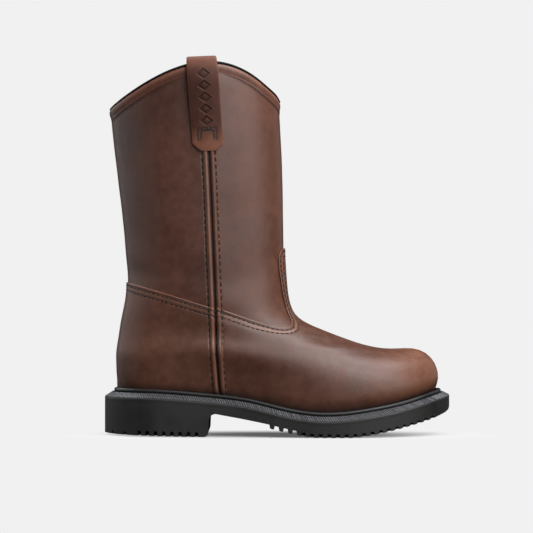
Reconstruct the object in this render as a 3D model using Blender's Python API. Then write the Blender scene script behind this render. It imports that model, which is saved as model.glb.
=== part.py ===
"""Pull-on work boot, right foot: a tall leather upper on a moulded rubber sole with a heel.

The frame has +X towards the toe, +Y towards the inner side of the foot and +Z up, with the floor at z = 0.
Tables and sizes are in millimetres, and solid() turns them into metres.
"""

import math

import bmesh
import bpy
import numpy as np

MM = 0.001

# Leather and gaps
WALL = 2.4
GAP = 0.35
RING_POINTS = 44
UPPER_RINGS = 31

# Sole
RAND_HEIGHT = 4.0
LEDGE_DROP = 8.7
LEDGE_INNER = 4.0
HEEL_BREAST_X = -60.0
HEEL_GROOVE_PITCH = 7.3
HEEL_GROOVE_WIDTH = 3.4
HEEL_GROOVE_DEPTH = 2.8
ARCH_HEIGHT = 19.3
ARCH_END_X = -9.0
ARCH_END_Z = 11.2
BREAST_FILLET = 3.5
TREAD_FLAT = (34.0, 64.0)
TOE_X = 154.0
TOE_SPRING = 20.1
LUG_PITCH = 8.1
LUG_TIP = 3.6
LUG_ROOT = 5.0
LUG_DEPTH = 3.4
LUG_LAST_X = 135.0
CHANNEL_WIDTH = 6.0
CHANNEL_DEPTH = 2.3
INSOLE_THICK = 4.0

# Pull loops and side piping
STRAP_WIDTH = 26.5
STRAP_THICK = 2.3
STRAP_DROP = 77.0
STRAP_CHAMFER = 6.5
STRAP_INSIDE_DROP = 45.0
STRAP_LIFT = -0.6
PIPING_WIDTH = 10.0

# The upper's rings, from the edge on the sole to the collar. Each ring runs from a point on the back line to
# one on the front line. heel, waist, ball and toe are its half widths, each over the half width of an ellipse
# at that station. swing carries the front end to the inner side, follow is the share of the sole's dip that
# the ring keeps, and crown the share of the collar's rise at the sides.
RING_COLUMNS = ("back_x", "back_z", "front_x", "front_z", "heel", "waist", "ball", "toe", "swing", "follow", "crown")
RINGS = (
    ("sole edge", -143.4, 38.0, 141.0, 36.3, 64.0, 36.0, 50.0, 65.0, 10.0, 1.00, 0.00),
    ("low wall", -145.0, 48.0, 143.4, 48.0, 66.0, 37.5, 51.0, 69.0, 10.0, 0.86, 0.00),
    ("mid wall", -145.2, 57.0, 142.8, 57.5, 66.5, 38.0, 50.5, 68.0, 10.0, 0.70, 0.00),
    ("toe shoulder", -145.0, 64.5, 138.4, 66.8, 66.0, 38.5, 49.2, 61.0, 9.6, 0.55, 0.00),
    ("toe round", -144.8, 69.5, 130.0, 73.3, 65.0, 38.5, 46.8, 52.0, 8.6, 0.45, 0.00),
    ("toe top", -144.5, 73.5, 116.0, 76.8, 63.5, 38.5, 45.0, 41.0, 7.2, 0.36, 0.00),
    ("toe dip", -144.2, 78.5, 97.5, 76.7, 61.0, 38.5, 44.3, 48.5, 5.4, 0.24, 0.00),
    ("vamp", -143.6, 85.5, 75.0, 80.6, 57.5, 38.5, 43.1, 52.0, 3.6, 0.15, 0.00),
    ("vamp rise", -142.5, 94.5, 51.0, 88.9, 53.5, 39.0, 42.3, 49.0, 2.2, 0.08, 0.00),
    ("instep", -140.9, 103.5, 30.0, 97.4, 50.0, 39.5, 42.0, 47.0, 1.3, 0.03, 0.00),
    ("throat", -138.7, 113.0, 15.6, 105.8, 47.5, 40.0, 41.5, 45.0, 0.7, 0.00, 0.00),
    ("ankle", -136.4, 124.0, 9.2, 119.0, 45.0, 40.5, 41.5, 43.0, 0.3, 0.00, 0.00),
    ("ankle top", -134.8, 138.0, 6.6, 139.0, 43.0, 41.2, 41.5, 41.5, 0.0, 0.00, 0.00),
    ("low shaft", -136.4, 162.0, 5.3, 164.0, 42.5, 42.2, 42.0, 42.0, 0.0, 0.00, 0.04),
    ("mid shaft", -140.0, 200.0, 4.8, 201.0, 44.0, 44.0, 44.0, 44.0, 0.0, 0.00, 0.20),
    ("high shaft", -145.0, 243.0, 3.7, 244.0, 46.0, 46.0, 46.0, 46.0, 0.0, 0.00, 0.55),
    ("collar", -150.0, 287.5, 0.8, 297.0, 47.5, 47.5, 47.5, 47.5, 0.0, 0.00, 1.00),
)
WAIST_BOW = 0.28

# Where the leather meets the rubber, seen from the side
RAND_LINE = (
    ("heel back", -156.0, 42.0),
    ("heel", -110.0, 42.0),
    ("heel breast", -62.0, 38.6),
    ("arch", -25.0, 34.0),
    ("behind ball", 10.0, 25.8),
    ("ball", 45.0, 22.4),
    ("before ball", 80.0, 26.0),
    ("toe", 117.0, 33.3),
    ("toe end", 142.0, 40.0),
    ("past the toe", 156.0, 43.0),
)

# Rise of the collar over the line from its back to its front: 0 degrees is the back and 180 the front
RIM_RISE = (
    ("mirrored back", -43.0, 15.9),
    ("back", 0.0, 0.0),
    ("back quarter", 43.0, 15.9),
    ("behind the loop", 73.0, 30.2),
    ("loop", 102.0, 36.0),
    ("front quarter", 133.0, 23.2),
    ("beside the front", 162.0, 6.6),
    ("front", 180.0, 0.0),
    ("mirrored front", 198.0, 6.6),
)

# Side seam, from the sole to the collar
SIDE_SEAM = (
    ("sole", 35.0, -50.2),
    ("counter seam", 106.0, -53.6),
    ("ankle", 164.0, -57.0),
    ("loop end", 255.0, -61.5),
    ("collar", 330.0, -67.0),
)

# How far the sole's edge stands out from the foot of the upper
EDGE_STATIONS = {"heel": 11.9, "waist": 8.5, "ball": 9.0, "toe": 14.0}

# Section of the collar binding: n is the distance out from the wall's outer face, drop the distance below the rim
BINDING_SECTION = (
    ("outer hem", GAP, 8.5),
    ("outer hem face", 1.7, 8.3),
    ("outer bulge", 2.0, 4.5),
    ("outer shoulder", 1.6, 0.0),
    ("outer top", 0.0, -1.5),
    ("inner top", -WALL, -1.5),
    ("inner shoulder", -WALL - 1.4, 0.0),
    ("inner hem face", -WALL - 1.5, 7.5),
    ("inner hem", -WALL - GAP, 7.7),
    ("inner channel", -WALL - GAP, -GAP),
    ("outer channel", GAP, -GAP),
)

# Section of the welt: height above the sole's seat, and n out from the leather
WELT_SECTION = (
    ("inner foot", 0.0, GAP),
    ("inner middle", 1.9, GAP),
    ("inner top", 3.7, GAP),
    ("outer top", 3.6, 1.5),
    ("outer shoulder", 2.7, 2.6),
    ("outer wall", 1.2, 3.1),
    ("outer foot", 0.0, 3.2),
)

# Section of the piping over the side seam: place across the seam, and height of its two rolled edges
PIPING_SECTION = (
    ("back edge", -0.5, 0.9),
    ("back roll", -0.25, 1.9),
    ("groove", 0.0, 0.9),
    ("front roll", 0.25, 1.9),
    ("front edge", 0.5, 0.9),
)
PIPING_STEPS = 22

# Colours (red, green, blue), roughness
FINISHES = {
    "brown_leather": ((0.085, 0.036, 0.024), 0.45),
    "binding_leather": ((0.110, 0.048, 0.032), 0.42),
    "black_rubber": ((0.018, 0.018, 0.018), 0.55),
    "welt_rubber": ((0.022, 0.023, 0.025), 0.40),
    "insole_fabric": ((0.030, 0.028, 0.026), 0.85),
}


def spline(knots, values, at):
    """Values at the given places of the natural cubic spline through the knots, column by column."""
    knots, values, at = (np.asarray(v, float) for v in (knots, values, at))
    step = np.diff(knots)
    matrix = np.eye(len(knots))
    right = np.zeros_like(values)
    for i in range(1, len(knots) - 1):
        matrix[i, i - 1 : i + 2] = step[i - 1], 2 * (step[i - 1] + step[i]), step[i]
        slopes = (values[i + 1] - values[i]) / step[i], (values[i] - values[i - 1]) / step[i - 1]
        right[i] = 6 * (slopes[0] - slopes[1])
    bend = np.linalg.solve(matrix, right)
    i = np.clip(np.searchsorted(knots, at) - 1, 0, len(step) - 1)
    shape = at.shape + (1,) * (values.ndim - 1)
    h = step[i].reshape(shape)
    b = ((at - knots[i]) / step[i]).reshape(shape)
    a = 1 - b
    curve = ((a**3 - a) * bend[i] + (b**3 - b) * bend[i + 1]) * h**2 / 6
    return a * values[i] + b * values[i + 1] + curve


def through_four(first, second, third, last, along):
    """Cubic through four values that stand at 0, 1/3, 2/3 and 1."""
    u = 3 * along
    return (
        first * (1 - u) * (2 - u) * (3 - u) / 6
        + second * u * (2 - u) * (3 - u) / 2
        - third * u * (1 - u) * (3 - u) / 2
        + last * u * (1 - u) * (2 - u) / 6
    )


RING_VALUES = np.array([row[1:] for row in RINGS])
BACK_TRAVEL = np.linalg.norm(np.diff(RING_VALUES[:, 0:2], axis=0), axis=1)
FRONT_TRAVEL = np.linalg.norm(np.diff(RING_VALUES[:, 2:4], axis=0), axis=1)
RING_LEVELS = np.concatenate([[0.0], np.cumsum((BACK_TRAVEL + FRONT_TRAVEL) / 2)])
TOP_LEVEL = RING_LEVELS[-1]


def rand_height(x):
    """Height of the line where the leather meets the rubber."""
    return spline([row[1] for row in RAND_LINE], [row[2] for row in RAND_LINE], x)


def seat_height(x):
    """Height of the sole's seat, on which the upper stands."""
    return rand_height(x) - RAND_HEIGHT


def rim_rise(angle):
    turned = np.degrees(angle) % 360
    folded = np.where(turned > 180, 360 - turned, turned)
    return spline([row[1] for row in RIM_RISE], [row[2] for row in RIM_RISE], folded)


def upper_point(level, angle):
    """Points on the outside of the upper. An angle of 0 is the back line, a quarter turn the outer side of
    the foot and half a turn the front line."""
    level, angle = np.broadcast_arrays(np.asarray(level, float), np.asarray(angle, float))
    ring = dict(zip(RING_COLUMNS, np.moveaxis(spline(RING_LEVELS, RING_VALUES, level), -1, 0)))
    foot = dict(zip(RING_COLUMNS, RING_VALUES[0]))
    along = (1 - np.cos(angle)) / 2
    x = ring["back_x"] + (ring["front_x"] - ring["back_x"]) * along
    foot_x = foot["back_x"] + (foot["front_x"] - foot["back_x"]) * along
    dip = seat_height(foot_x) + GAP - (foot["back_z"] + (foot["front_z"] - foot["back_z"]) * along)
    z = ring["back_z"] + (ring["front_z"] - ring["back_z"]) * along
    z = z + ring["follow"] * dip + ring["crown"] * rim_rise(angle)
    half_width = through_four(ring["heel"], ring["waist"], ring["ball"], ring["toe"], along)
    middle = ring["swing"] * (along**3 - WAIST_BOW * 4 * along * (1 - along))
    y = middle - np.sin(angle) * half_width
    return np.stack([x, y, z], axis=-1)


def slopes_of(level, angle):
    """How the point moves for a step of level and for a step of angle."""
    by_level, by_angle = 0.05, 0.001
    up = (upper_point(level + by_level, angle) - upper_point(level - by_level, angle)) / (2 * by_level)
    round_ = (upper_point(level, angle + by_angle) - upper_point(level, angle - by_angle)) / (2 * by_angle)
    return up, round_


def unit(vectors):
    return vectors / np.linalg.norm(vectors, axis=-1, keepdims=True)


def upper_normal(level, angle):
    up, round_ = slopes_of(level, angle)
    return unit(np.cross(round_, up))


def off_upper(level, angle, n):
    """Points at the distance n outside the upper's outer face."""
    level, angle, n = np.broadcast_arrays(*(np.asarray(v, float) for v in (level, angle, n)))
    return upper_point(level, angle) + n[..., None] * upper_normal(level, angle)


def plan_normal(level, angle):
    flat = upper_normal(level, angle) * (1, 1, 0)
    return unit(flat)


def ring_angles():
    """Angles round a ring, set closer along the sides, where the sole's line bends."""
    turn = np.arange(RING_POINTS) * 2 * math.pi / RING_POINTS
    return turn + 0.15 * np.sin(2 * turn)


def below_rim(angle, drop, n):
    """Points by their drop under the collar's rim and their distance n out from the wall. Above the rim the
    wall is carried straight on."""
    angle, drop, n = np.broadcast_arrays(*(np.asarray(v, float) for v in (angle, drop, n)))
    up, _ = slopes_of(np.full(angle.shape, TOP_LEVEL), angle)
    rate = np.linalg.norm(up, axis=-1)
    level = TOP_LEVEL - np.maximum(drop, 0) / rate
    above = np.maximum(-drop, 0)
    return off_upper(level, angle, n) + above[..., None] * unit(up)


def seam_line():
    """Level, angle and drop below the rim along the side seam of the outer side, from the rim down."""
    level = np.linspace(TOP_LEVEL, 0, 160)
    angle = np.full(level.shape, math.pi / 2)
    heights, places = [row[1] for row in SIDE_SEAM], [row[2] for row in SIDE_SEAM]
    for _ in range(6):
        z = upper_point(level, angle)[:, 2]
        ring = spline(RING_LEVELS, RING_VALUES, level)
        along = (spline(heights, places, z) - ring[:, 0]) / (ring[:, 2] - ring[:, 0])
        angle = np.arccos(1 - 2 * along)
    points = upper_point(level, angle)
    drop = np.concatenate([[0.0], np.cumsum(np.linalg.norm(np.diff(points, axis=0), axis=1))])
    return level, angle, drop


SEAM_LEVEL, SEAM_ANGLE, SEAM_DROP = seam_line()


def by_seam(side, drop, across, n):
    """Points placed from the side seam: side is 1 on the outer side of the foot and -1 on the inner, across
    is towards the toe, and a drop below 0 stands over the rim."""
    drop, across, n = np.broadcast_arrays(*(np.asarray(v, float) for v in (drop, across, n)))
    held = np.maximum(drop, 0)
    level = np.interp(held, SEAM_DROP, SEAM_LEVEL)
    angle = np.interp(held, SEAM_DROP, SEAM_ANGLE)
    up, round_ = slopes_of(level, angle)
    angle = side * (angle + across / np.linalg.norm(round_, axis=-1))
    above = np.maximum(-drop, 0)
    return off_upper(level, angle, n) + above[..., None] * unit(up) * (1, side, 1)


def sole_outline(angle):
    """Outer edge of the sole in plan."""
    along = (1 - np.cos(angle)) / 2
    edge = through_four(*EDGE_STATIONS.values(), along)
    foot = upper_point(np.zeros(angle.shape), angle)
    return foot + edge[..., None] * plan_normal(np.zeros(angle.shape), angle)


OUTLINE = sole_outline(ring_angles())
CENTRE = np.append((OUTLINE.min(axis=0) + OUTLINE.max(axis=0))[:2] / 2, 0.0)


def solid(name, points, faces, finish, smooth_angle=35):
    """A closed mesh object from points in millimetres, moved so that the sole is centred on the origin."""
    mesh = bpy.data.meshes.new(name)
    mesh.from_pydata(((np.asarray(points) - CENTRE) * MM).tolist(), [], faces)
    work = bmesh.new()
    work.from_mesh(mesh)
    bmesh.ops.recalc_face_normals(work, faces=work.faces)
    work.to_mesh(mesh)
    work.free()
    mesh.shade_smooth()
    mesh.set_sharp_from_angle(angle=math.radians(smooth_angle))
    mesh.materials.append(finish)
    made = bpy.data.objects.new(name, mesh)
    bpy.context.scene.collection.objects.link(made)
    return made


def loop_faces(rows, columns, closed):
    """Quads of a grid of rows of points, each row a closed loop. Open ends are capped."""
    faces = []
    for i in range(rows if closed else rows - 1):
        for j in range(columns):
            k = (i + 1) % rows
            l = (j + 1) % columns
            faces.append((i * columns + j, i * columns + l, k * columns + l, k * columns + j))
    if not closed:
        faces.append(tuple(range(columns)))
        faces.append(tuple(range((rows - 1) * columns, rows * columns)))
    return faces


def swept(name, loops, finish, closed=True):
    """A solid from section loops that follow one another, in a ring or with two capped ends."""
    loops = np.asarray(loops)
    return solid(name, loops.reshape(-1, 3), loop_faces(loops.shape[0], loops.shape[1], closed), finish)


def stacked(name, rings, finish):
    """A solid from rings one above another, with its bottom and top filled from side to side."""
    rings = np.asarray(rings)
    count = rings.shape[1]
    faces = [f for f in loop_faces(rings.shape[0], count, False) if len(f) == 4]
    for first in (0, (rings.shape[0] - 1) * count):
        faces.append((first, first + 1, first + count - 1))
        for i in range(1, count // 2 - 1):
            faces.append((first + i, first + i + 1, first + count - i - 1, first + count - i))
        middle = first + count // 2
        faces.append((middle - 1, middle, middle + 1))
    return solid(name, rings.reshape(-1, 3), faces, finish)


def finishes():
    made = {}
    for name, (colour, roughness) in FINISHES.items():
        material = bpy.data.materials.new(name)
        material.use_nodes = True
        shader = material.node_tree.nodes["Principled BSDF"]
        shader.inputs["Base Color"].default_value = (*colour, 1)
        shader.inputs["Roughness"].default_value = roughness
        shader.inputs["Metallic"].default_value = 0
        made[name] = material
    return made


def build_upper(finish):
    """Vamp, counter and shaft as one wall, open at the collar and underneath."""
    level, angle = np.meshgrid(np.linspace(0, TOP_LEVEL, UPPER_RINGS), ring_angles())
    outer = off_upper(level, angle, 0.0)
    inner = off_upper(level, angle, -WALL)
    return swept("upper", np.concatenate([outer, inner[:, ::-1]], axis=1), finish)


def build_binding(finish):
    """Rolled leather hem that folds over the collar's edge."""
    angle = ring_angles()[:, None]
    n = np.array([row[1] for row in BINDING_SECTION])
    drop = np.array([row[2] for row in BINDING_SECTION])
    return swept("collar_binding", below_rim(angle, drop, n), finish)


def seated(height, n):
    """Points round the foot of the upper at a height over the sole's seat, n out from the leather."""
    angle, height, n = np.broadcast_arrays(ring_angles()[:, None], height, n)
    points = upper_point(height, angle) + n[..., None] * plan_normal(height, angle)
    points[..., 2] = seat_height(points[..., 0]) + GAP + height
    return points


def build_welt(finish):
    """Bead of rubber round the foot of the upper."""
    height = np.array([row[1] for row in WELT_SECTION])
    n = np.array([row[2] for row in WELT_SECTION])
    return swept("welt", seated(height, n), finish)


def build_insole(finish):
    """Footbed inside the upper, on the sole's seat."""
    rings = seated(np.array([0.0, INSOLE_THICK]), np.array([-WALL - 2 * GAP] * 2))
    return stacked("insole", np.moveaxis(rings, 1, 0), finish)


def tread_height(x):
    """Height of the lugs' tips: flat under the ball, rising to the arch and to the toe."""
    back, front = TREAD_FLAT
    if x < back:
        return ARCH_END_Z * 0.7 * ((back - x) / (back - ARCH_END_X)) ** 1.35
    if x > front:
        return TOE_SPRING * ((x - front) / (TOE_X - front)) ** 1.45
    return 0.0


def arch_height(x):
    span = (x - HEEL_BREAST_X) / (ARCH_END_X - HEEL_BREAST_X)
    return ARCH_HEIGHT - (ARCH_HEIGHT - ARCH_END_Z) * span**1.4


def heel_profile():
    """Underside of the heel with its grooves, ending in the breast with a round corner at the arch."""
    points = [(-180.0, 0.0)]
    x = -150.5
    while x + HEEL_GROOVE_PITCH < HEEL_BREAST_X:
        half = HEEL_GROOVE_WIDTH / 2
        points += [(x - half, 0.0), (x - half + 0.5, HEEL_GROOVE_DEPTH)]
        points += [(x + half - 0.5, HEEL_GROOVE_DEPTH), (x + half, 0.0)]
        x += HEEL_GROOVE_PITCH
    points += [(HEEL_BREAST_X - 1.0, 0.0), (HEEL_BREAST_X, 1.0)]
    for step in range(5):
        turn = math.radians(22.5 * step)
        corner_x = HEEL_BREAST_X + BREAST_FILLET * (1 - math.cos(turn))
        corner_z = ARCH_HEIGHT - 0.4 - BREAST_FILLET * (1 - math.sin(turn))
        points.append((corner_x, corner_z))
    return points


def forefoot_profile():
    """Underside of the arch, the forefoot's lugs and the plain toe."""
    points = [(x, arch_height(x)) for x in (-46.0, -34.0, -22.0)]
    x = ARCH_END_X
    while x + LUG_ROOT < LUG_LAST_X:
        slope = (LUG_ROOT - LUG_TIP) / 2
        tips = x + slope, x + LUG_ROOT - slope
        points.append((x, tread_height(x) + LUG_DEPTH))
        points += [(tip, tread_height(tip)) for tip in tips]
        points.append((x + LUG_ROOT, tread_height(x + LUG_ROOT) + LUG_DEPTH))
        x += LUG_PITCH
    points += [(x, tread_height(x) + 0.6) for x in (137.0, 145.0, TOE_X, 180.0)]
    return points


def helper(name, points, faces):
    """A cutter, which stays out of the object."""
    made = solid(name, points, faces, None)
    made.hide_render = True
    made.display_type = "WIRE"
    return made


def side_cutter(name, profile, low, half_width):
    """Everything under a side profile, as a prism across the sole."""
    outline = [*profile, (profile[-1][0], low), (profile[0][0], low)]
    points = [(x, side * half_width, z) for side in (-1, 1) for x, z in outline]
    count = len(outline)
    faces = [tuple(range(count)), tuple(range(count, 2 * count))]
    faces += [(i, (i + 1) % count, (i + 1) % count + count, i + count) for i in range(count)]
    return helper(name, points, faces)


def cut(obj, cutter):
    modifier = obj.modifiers.new(cutter.name, "BOOLEAN")
    modifier.operation = "DIFFERENCE"
    modifier.solver = "EXACT"
    modifier.object = cutter


def build_outsole(finish):
    """Moulded sole: a ledge, an upright wall, and an underside with heel, arch, lugs and toe spring."""
    angle = ring_angles()
    foot = np.zeros(angle.shape)
    edge = sole_outline(angle)
    seat = upper_point(foot, angle) + LEDGE_INNER * plan_normal(foot, angle)
    seat[:, 2] = seat_height(seat[:, 0])
    wall_top = edge.copy()
    wall_top[:, 2] = rand_height(edge[:, 0]) - LEDGE_DROP
    wall_foot = edge.copy()
    wall_foot[:, 2] = -4.0
    sole = stacked("outsole", [wall_foot, wall_top, seat], finish)
    cut(sole, side_cutter("underside_cutter", heel_profile() + forefoot_profile(), -12.0, 90.0))
    channel = [(x, CHANNEL_DEPTH + tread_height(x)) for x in np.arange(ARCH_END_X - 3, LUG_LAST_X, 12.0)]
    cut(sole, side_cutter("channel_cutter", channel, -12.0, CHANNEL_WIDTH / 2))
    return sole


def strap_path():
    """Face of a pull loop that lies on the shaft, as (drop, n) from its outer end over the rim to its inner
    end, and the strap's half width there."""
    over, under = 2.5, -WALL - 2.1
    middle, radius = (over + under) / 2, (over - under) / 2
    half = STRAP_WIDTH / 2
    path = [(STRAP_DROP, GAP, half - STRAP_CHAMFER), (STRAP_DROP - STRAP_CHAMFER, GAP, half)]
    path += [(drop, GAP, half) for drop in (56.0, 42.0, 28.0, 15.0)]
    path += [(9.5, over, half), (3.0, over, half)]
    for step in range(9):
        turn = math.pi * step / 8
        path.append((-STRAP_LIFT - radius * math.sin(turn), middle + radius * math.cos(turn), half))
    path += [(3.0, under, half), (9.5, under, half)]
    path += [(drop, -WALL - GAP, half) for drop in (15.0, 30.0, STRAP_INSIDE_DROP)]
    return np.array(path)


def build_pull_loop(name, side, finish):
    """Leather strap that folds over the collar at the side seam."""
    path = strap_path()
    line = path[:, :2]
    along = unit(np.gradient(line, axis=0))
    out = line + STRAP_THICK * np.stack([along[:, 1], -along[:, 0]], axis=1)
    across = path[:, 2:3] * np.linspace(-1, 1, 4)
    face = by_seam(side, line[:, :1], across, line[:, 1:])
    back = by_seam(side, out[:, :1], across, out[:, 1:])
    return swept(name, np.concatenate([face, back[:, ::-1]], axis=1), finish, closed=False)


def build_piping(name, side, finish):
    """Two rolled edges of leather along the side seam, from the pull loop to the welt."""
    low = np.interp(RAND_HEIGHT + 1.0, SEAM_LEVEL[::-1], SEAM_DROP[::-1])
    drop = np.linspace(STRAP_DROP + 0.6, low, PIPING_STEPS)[:, None]
    across = PIPING_WIDTH * np.array([row[1] for row in PIPING_SECTION])
    height = np.array([row[2] for row in PIPING_SECTION])
    inside = by_seam(side, drop, across, GAP)
    outside = by_seam(side, drop, across, height)
    return swept(name, np.concatenate([outside, inside[:, ::-1]], axis=1), finish, closed=False)


def main():
    for obj in list(bpy.data.objects):
        bpy.data.objects.remove(obj)
    finish = finishes()
    build_outsole(finish["black_rubber"])
    build_welt(finish["welt_rubber"])
    build_insole(finish["insole_fabric"])
    build_upper(finish["brown_leather"])
    build_binding(finish["binding_leather"])
    for place, side in (("outer", 1), ("inner", -1)):
        build_pull_loop(f"pull_loop_{place}", side, finish["brown_leather"])
        build_piping(f"side_piping_{place}", side, finish["binding_leather"])


main()
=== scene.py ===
# %% [markdown]
# # A pull-on work boot
# The boot is a tall leather shaft on a black rubber sole. This lesson builds the leather panels, seams,
# stitches, collar and sole around the CAD frame, in the frame's own metres, so nothing has to be fitted.

# %% Load the frame
import math

import bmesh
import bpy
import numpy as np
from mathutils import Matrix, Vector, kdtree, noise


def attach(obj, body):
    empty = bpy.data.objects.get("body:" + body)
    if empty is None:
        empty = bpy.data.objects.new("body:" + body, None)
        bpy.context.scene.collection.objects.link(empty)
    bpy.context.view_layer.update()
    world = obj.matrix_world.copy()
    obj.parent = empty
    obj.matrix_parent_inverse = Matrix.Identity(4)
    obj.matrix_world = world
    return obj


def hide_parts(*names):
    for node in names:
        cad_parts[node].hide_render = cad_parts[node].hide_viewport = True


MM = 0.001
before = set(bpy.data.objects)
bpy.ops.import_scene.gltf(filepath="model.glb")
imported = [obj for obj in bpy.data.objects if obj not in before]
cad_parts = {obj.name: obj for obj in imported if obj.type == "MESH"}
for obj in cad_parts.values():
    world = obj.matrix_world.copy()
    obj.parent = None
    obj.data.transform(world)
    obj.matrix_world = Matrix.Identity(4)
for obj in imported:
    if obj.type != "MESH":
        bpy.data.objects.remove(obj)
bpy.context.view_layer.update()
print("CAD nodes:", sorted(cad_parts))

# %% [markdown]
# ## Camera
# The photo is taken square to the boot's outer side from about two metres, with a long lens. A constraint
# could aim the camera at the boot. A camera at the height of the ankle that looks straight along +Y gives
# the same view with plain numbers, and needs no shift.

# %% Camera
IMAGE_PIXELS = 533
FOCAL_PIXELS = 2222.2
SENSOR_WIDTH = 36
CAMERA_PLACE = (-0.0099, -2.0, 0.15)

camera_data = bpy.data.cameras.new("side_camera")
camera_data.sensor_width = SENSOR_WIDTH
camera_data.lens = FOCAL_PIXELS / IMAGE_PIXELS * SENSOR_WIDTH
camera = bpy.data.objects.new("side_camera", camera_data)
camera.location = CAMERA_PLACE
camera.rotation_euler = (math.radians(90), 0, 0)
bpy.context.scene.collection.objects.link(camera)
bpy.context.scene.camera = camera
print("lens:", round(camera_data.lens, 1), "mm")

# %% [markdown]
# ## Studio
# The backdrop is one even pale grey. A world colour gives it, and the world lights nothing, so that the
# leather is lit by softboxes only. A picture of a studio could light it too, but area lights can be moved
# one by one. A softbox's power is worked out from the brightness that its face should have, which is what
# the leather mirrors as a soft highlight.

# %% Backdrop and softboxes
BACKDROP = 0.879
BOOT_MIDDLE = Vector((0.0, 0.0, 0.14))
LIGHT_DISTANCE = 1.5

view = bpy.context.scene.view_settings
view.view_transform = "Standard"
world = bpy.data.worlds.new("pale_backdrop")
bpy.context.scene.world = world
world.use_nodes = True
world.node_tree.nodes["Background"].inputs["Color"].default_value = (BACKDROP, BACKDROP, BACKDROP, 1)
for ray in ("diffuse", "glossy", "transmission", "scatter"):
    setattr(world.cycles_visibility, ray, False)


def softbox(name, around, height, size, brightness):
    """A rectangular area light that looks at the boot. around is its direction from the camera's side towards
    the toe, and height its elevation, both in degrees. brightness is that of its face."""
    data = bpy.data.lights.new(name, "AREA")
    data.shape = "RECTANGLE"
    data.size, data.size_y = size
    data.energy = brightness * math.pi * size[0] * size[1]
    light = bpy.data.objects.new(name, data)
    turn, lift = math.radians(around), math.radians(height)
    away = Vector((math.cos(lift) * math.sin(turn), -math.cos(lift) * math.cos(turn), math.sin(lift)))
    light.location = BOOT_MIDDLE + LIGHT_DISTANCE * away
    light.rotation_euler = away.to_track_quat("Z", "Y").to_euler()
    light.visible_camera = False
    bpy.context.scene.collection.objects.link(light)


# Direction, elevation, width and height in metres, brightness
SOFTBOXES = (
    ("key", 35, 35, (0.75, 0.75), 6.9),
    ("key_beside_camera", 10, 35, (0.75, 0.75), 2.5),
    ("key_high", 40, 58, (0.75, 0.75), 3.6),
    ("toe_high", 80, 58, (0.6, 0.6), 6.3),
    ("overhead_toe", 90, 78, (0.6, 0.6), 6.8),
    ("overhead_heel", -90, 78, (0.6, 0.6), 5.5),
    ("overhead_back", 180, 78, (0.6, 0.6), 1.1),
    ("heel_high", -120, 58, (0.6, 0.6), 9.5),
    ("heel_back", -130, 35, (0.6, 0.6), 3.5),
    ("low_front", 15, 8, (0.6, 0.8), 2.7),
    ("low_toe_side", 53, 8, (0.75, 0.8), 2.6),
    ("low_toe", 130, 8, (0.6, 0.8), 0.6),
    ("low_heel_side", -65, 8, (0.6, 0.8), 1.0),
    ("low_heel", -90, 8, (0.6, 0.8), 1.4),
    ("low_heel_back", -120, 8, (0.6, 0.8), 1.2),
)
for box in SOFTBOXES:
    softbox(*box)
print("softboxes:", len(SOFTBOXES))

# %% [markdown]
# ## Node helpers
# Every finish below is a small tree of nodes around a Principled shader. One helper adds a node and sets its
# inputs, and a value that is a socket becomes a link. Colours are written as the 0 to 255 numbers that a
# picture shows, and turned into the linear values that a shader needs.

# %% Node helpers


def linear(*shown):
    """Linear colour from 0 to 255 picture values."""
    parts = np.array(shown) / 255
    low = parts / 12.92
    high = ((parts + 0.055) / 1.055) ** 2.4
    return (*np.where(parts <= 0.04045, low, high), 1.0)


def add_node(tree, kind, inputs=(), **settings):
    """Adds a node. inputs maps a socket's name or number to a value, or to the socket that feeds it."""
    made = tree.nodes.new(kind)
    for key, value in settings.items():
        setattr(made, key, value)
    for key, value in dict(inputs).items():
        if isinstance(value, bpy.types.NodeSocket):
            tree.links.new(value, made.inputs[key])
        else:
            made.inputs[key].default_value = value
    return made


def new_finish(name):
    """A material with a Principled shader, and its tree and object coordinates."""
    finish = bpy.data.materials.new(name)
    finish.use_nodes = True
    tree = finish.node_tree
    place = add_node(tree, "ShaderNodeTexCoord").outputs["Object"]
    return finish, tree, tree.nodes["Principled BSDF"], place


def noise_at(tree, place, scale, detail=2.0, roughness=0.5):
    settings = {"Vector": place, "Scale": scale, "Detail": detail, "Roughness": roughness}
    return add_node(tree, "ShaderNodeTexNoise", settings).outputs["Fac"]


def stretched(tree, value, low, high, to_low=0.0, to_high=1.0):
    """Maps a value from one range to another, with soft ends."""
    settings = {"Value": value, 1: low, 2: high, 3: to_low, 4: to_high}
    return add_node(tree, "ShaderNodeMapRange", settings, interpolation_type="SMOOTHSTEP").outputs["Result"]


def mixed(tree, share, first, second, way="MIX"):
    settings = {0: share, 6: first, 7: second}
    return add_node(tree, "ShaderNodeMix", settings, data_type="RGBA", blend_type=way).outputs[2]


def attribute(tree, name):
    return add_node(tree, "ShaderNodeAttribute", attribute_name=name).outputs["Fac"]


def combined(tree, way, first, second):
    """A sum, product or other combination of two values."""
    return add_node(tree, "ShaderNodeMath", {0: first, 1: second}, operation=way).outputs[0]


def colour_by(tree, shader, share, first, second):
    """Gives a shader a colour between two, by a share that varies over the surface."""
    tree.links.new(mixed(tree, share, first, second), shader.inputs["Base Color"])


def bump_by(tree, shader, height, strength, distance):
    """Feeds a height to a shader as a bump, with its distance in metres."""
    bump = add_node(tree, "ShaderNodeBump", {"Strength": strength, "Distance": distance, "Height": height})
    tree.links.new(bump.outputs[0], shader.inputs["Normal"])


print("picture value 241 as a linear value:", round(float(linear(241)[0]), 3))

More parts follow.
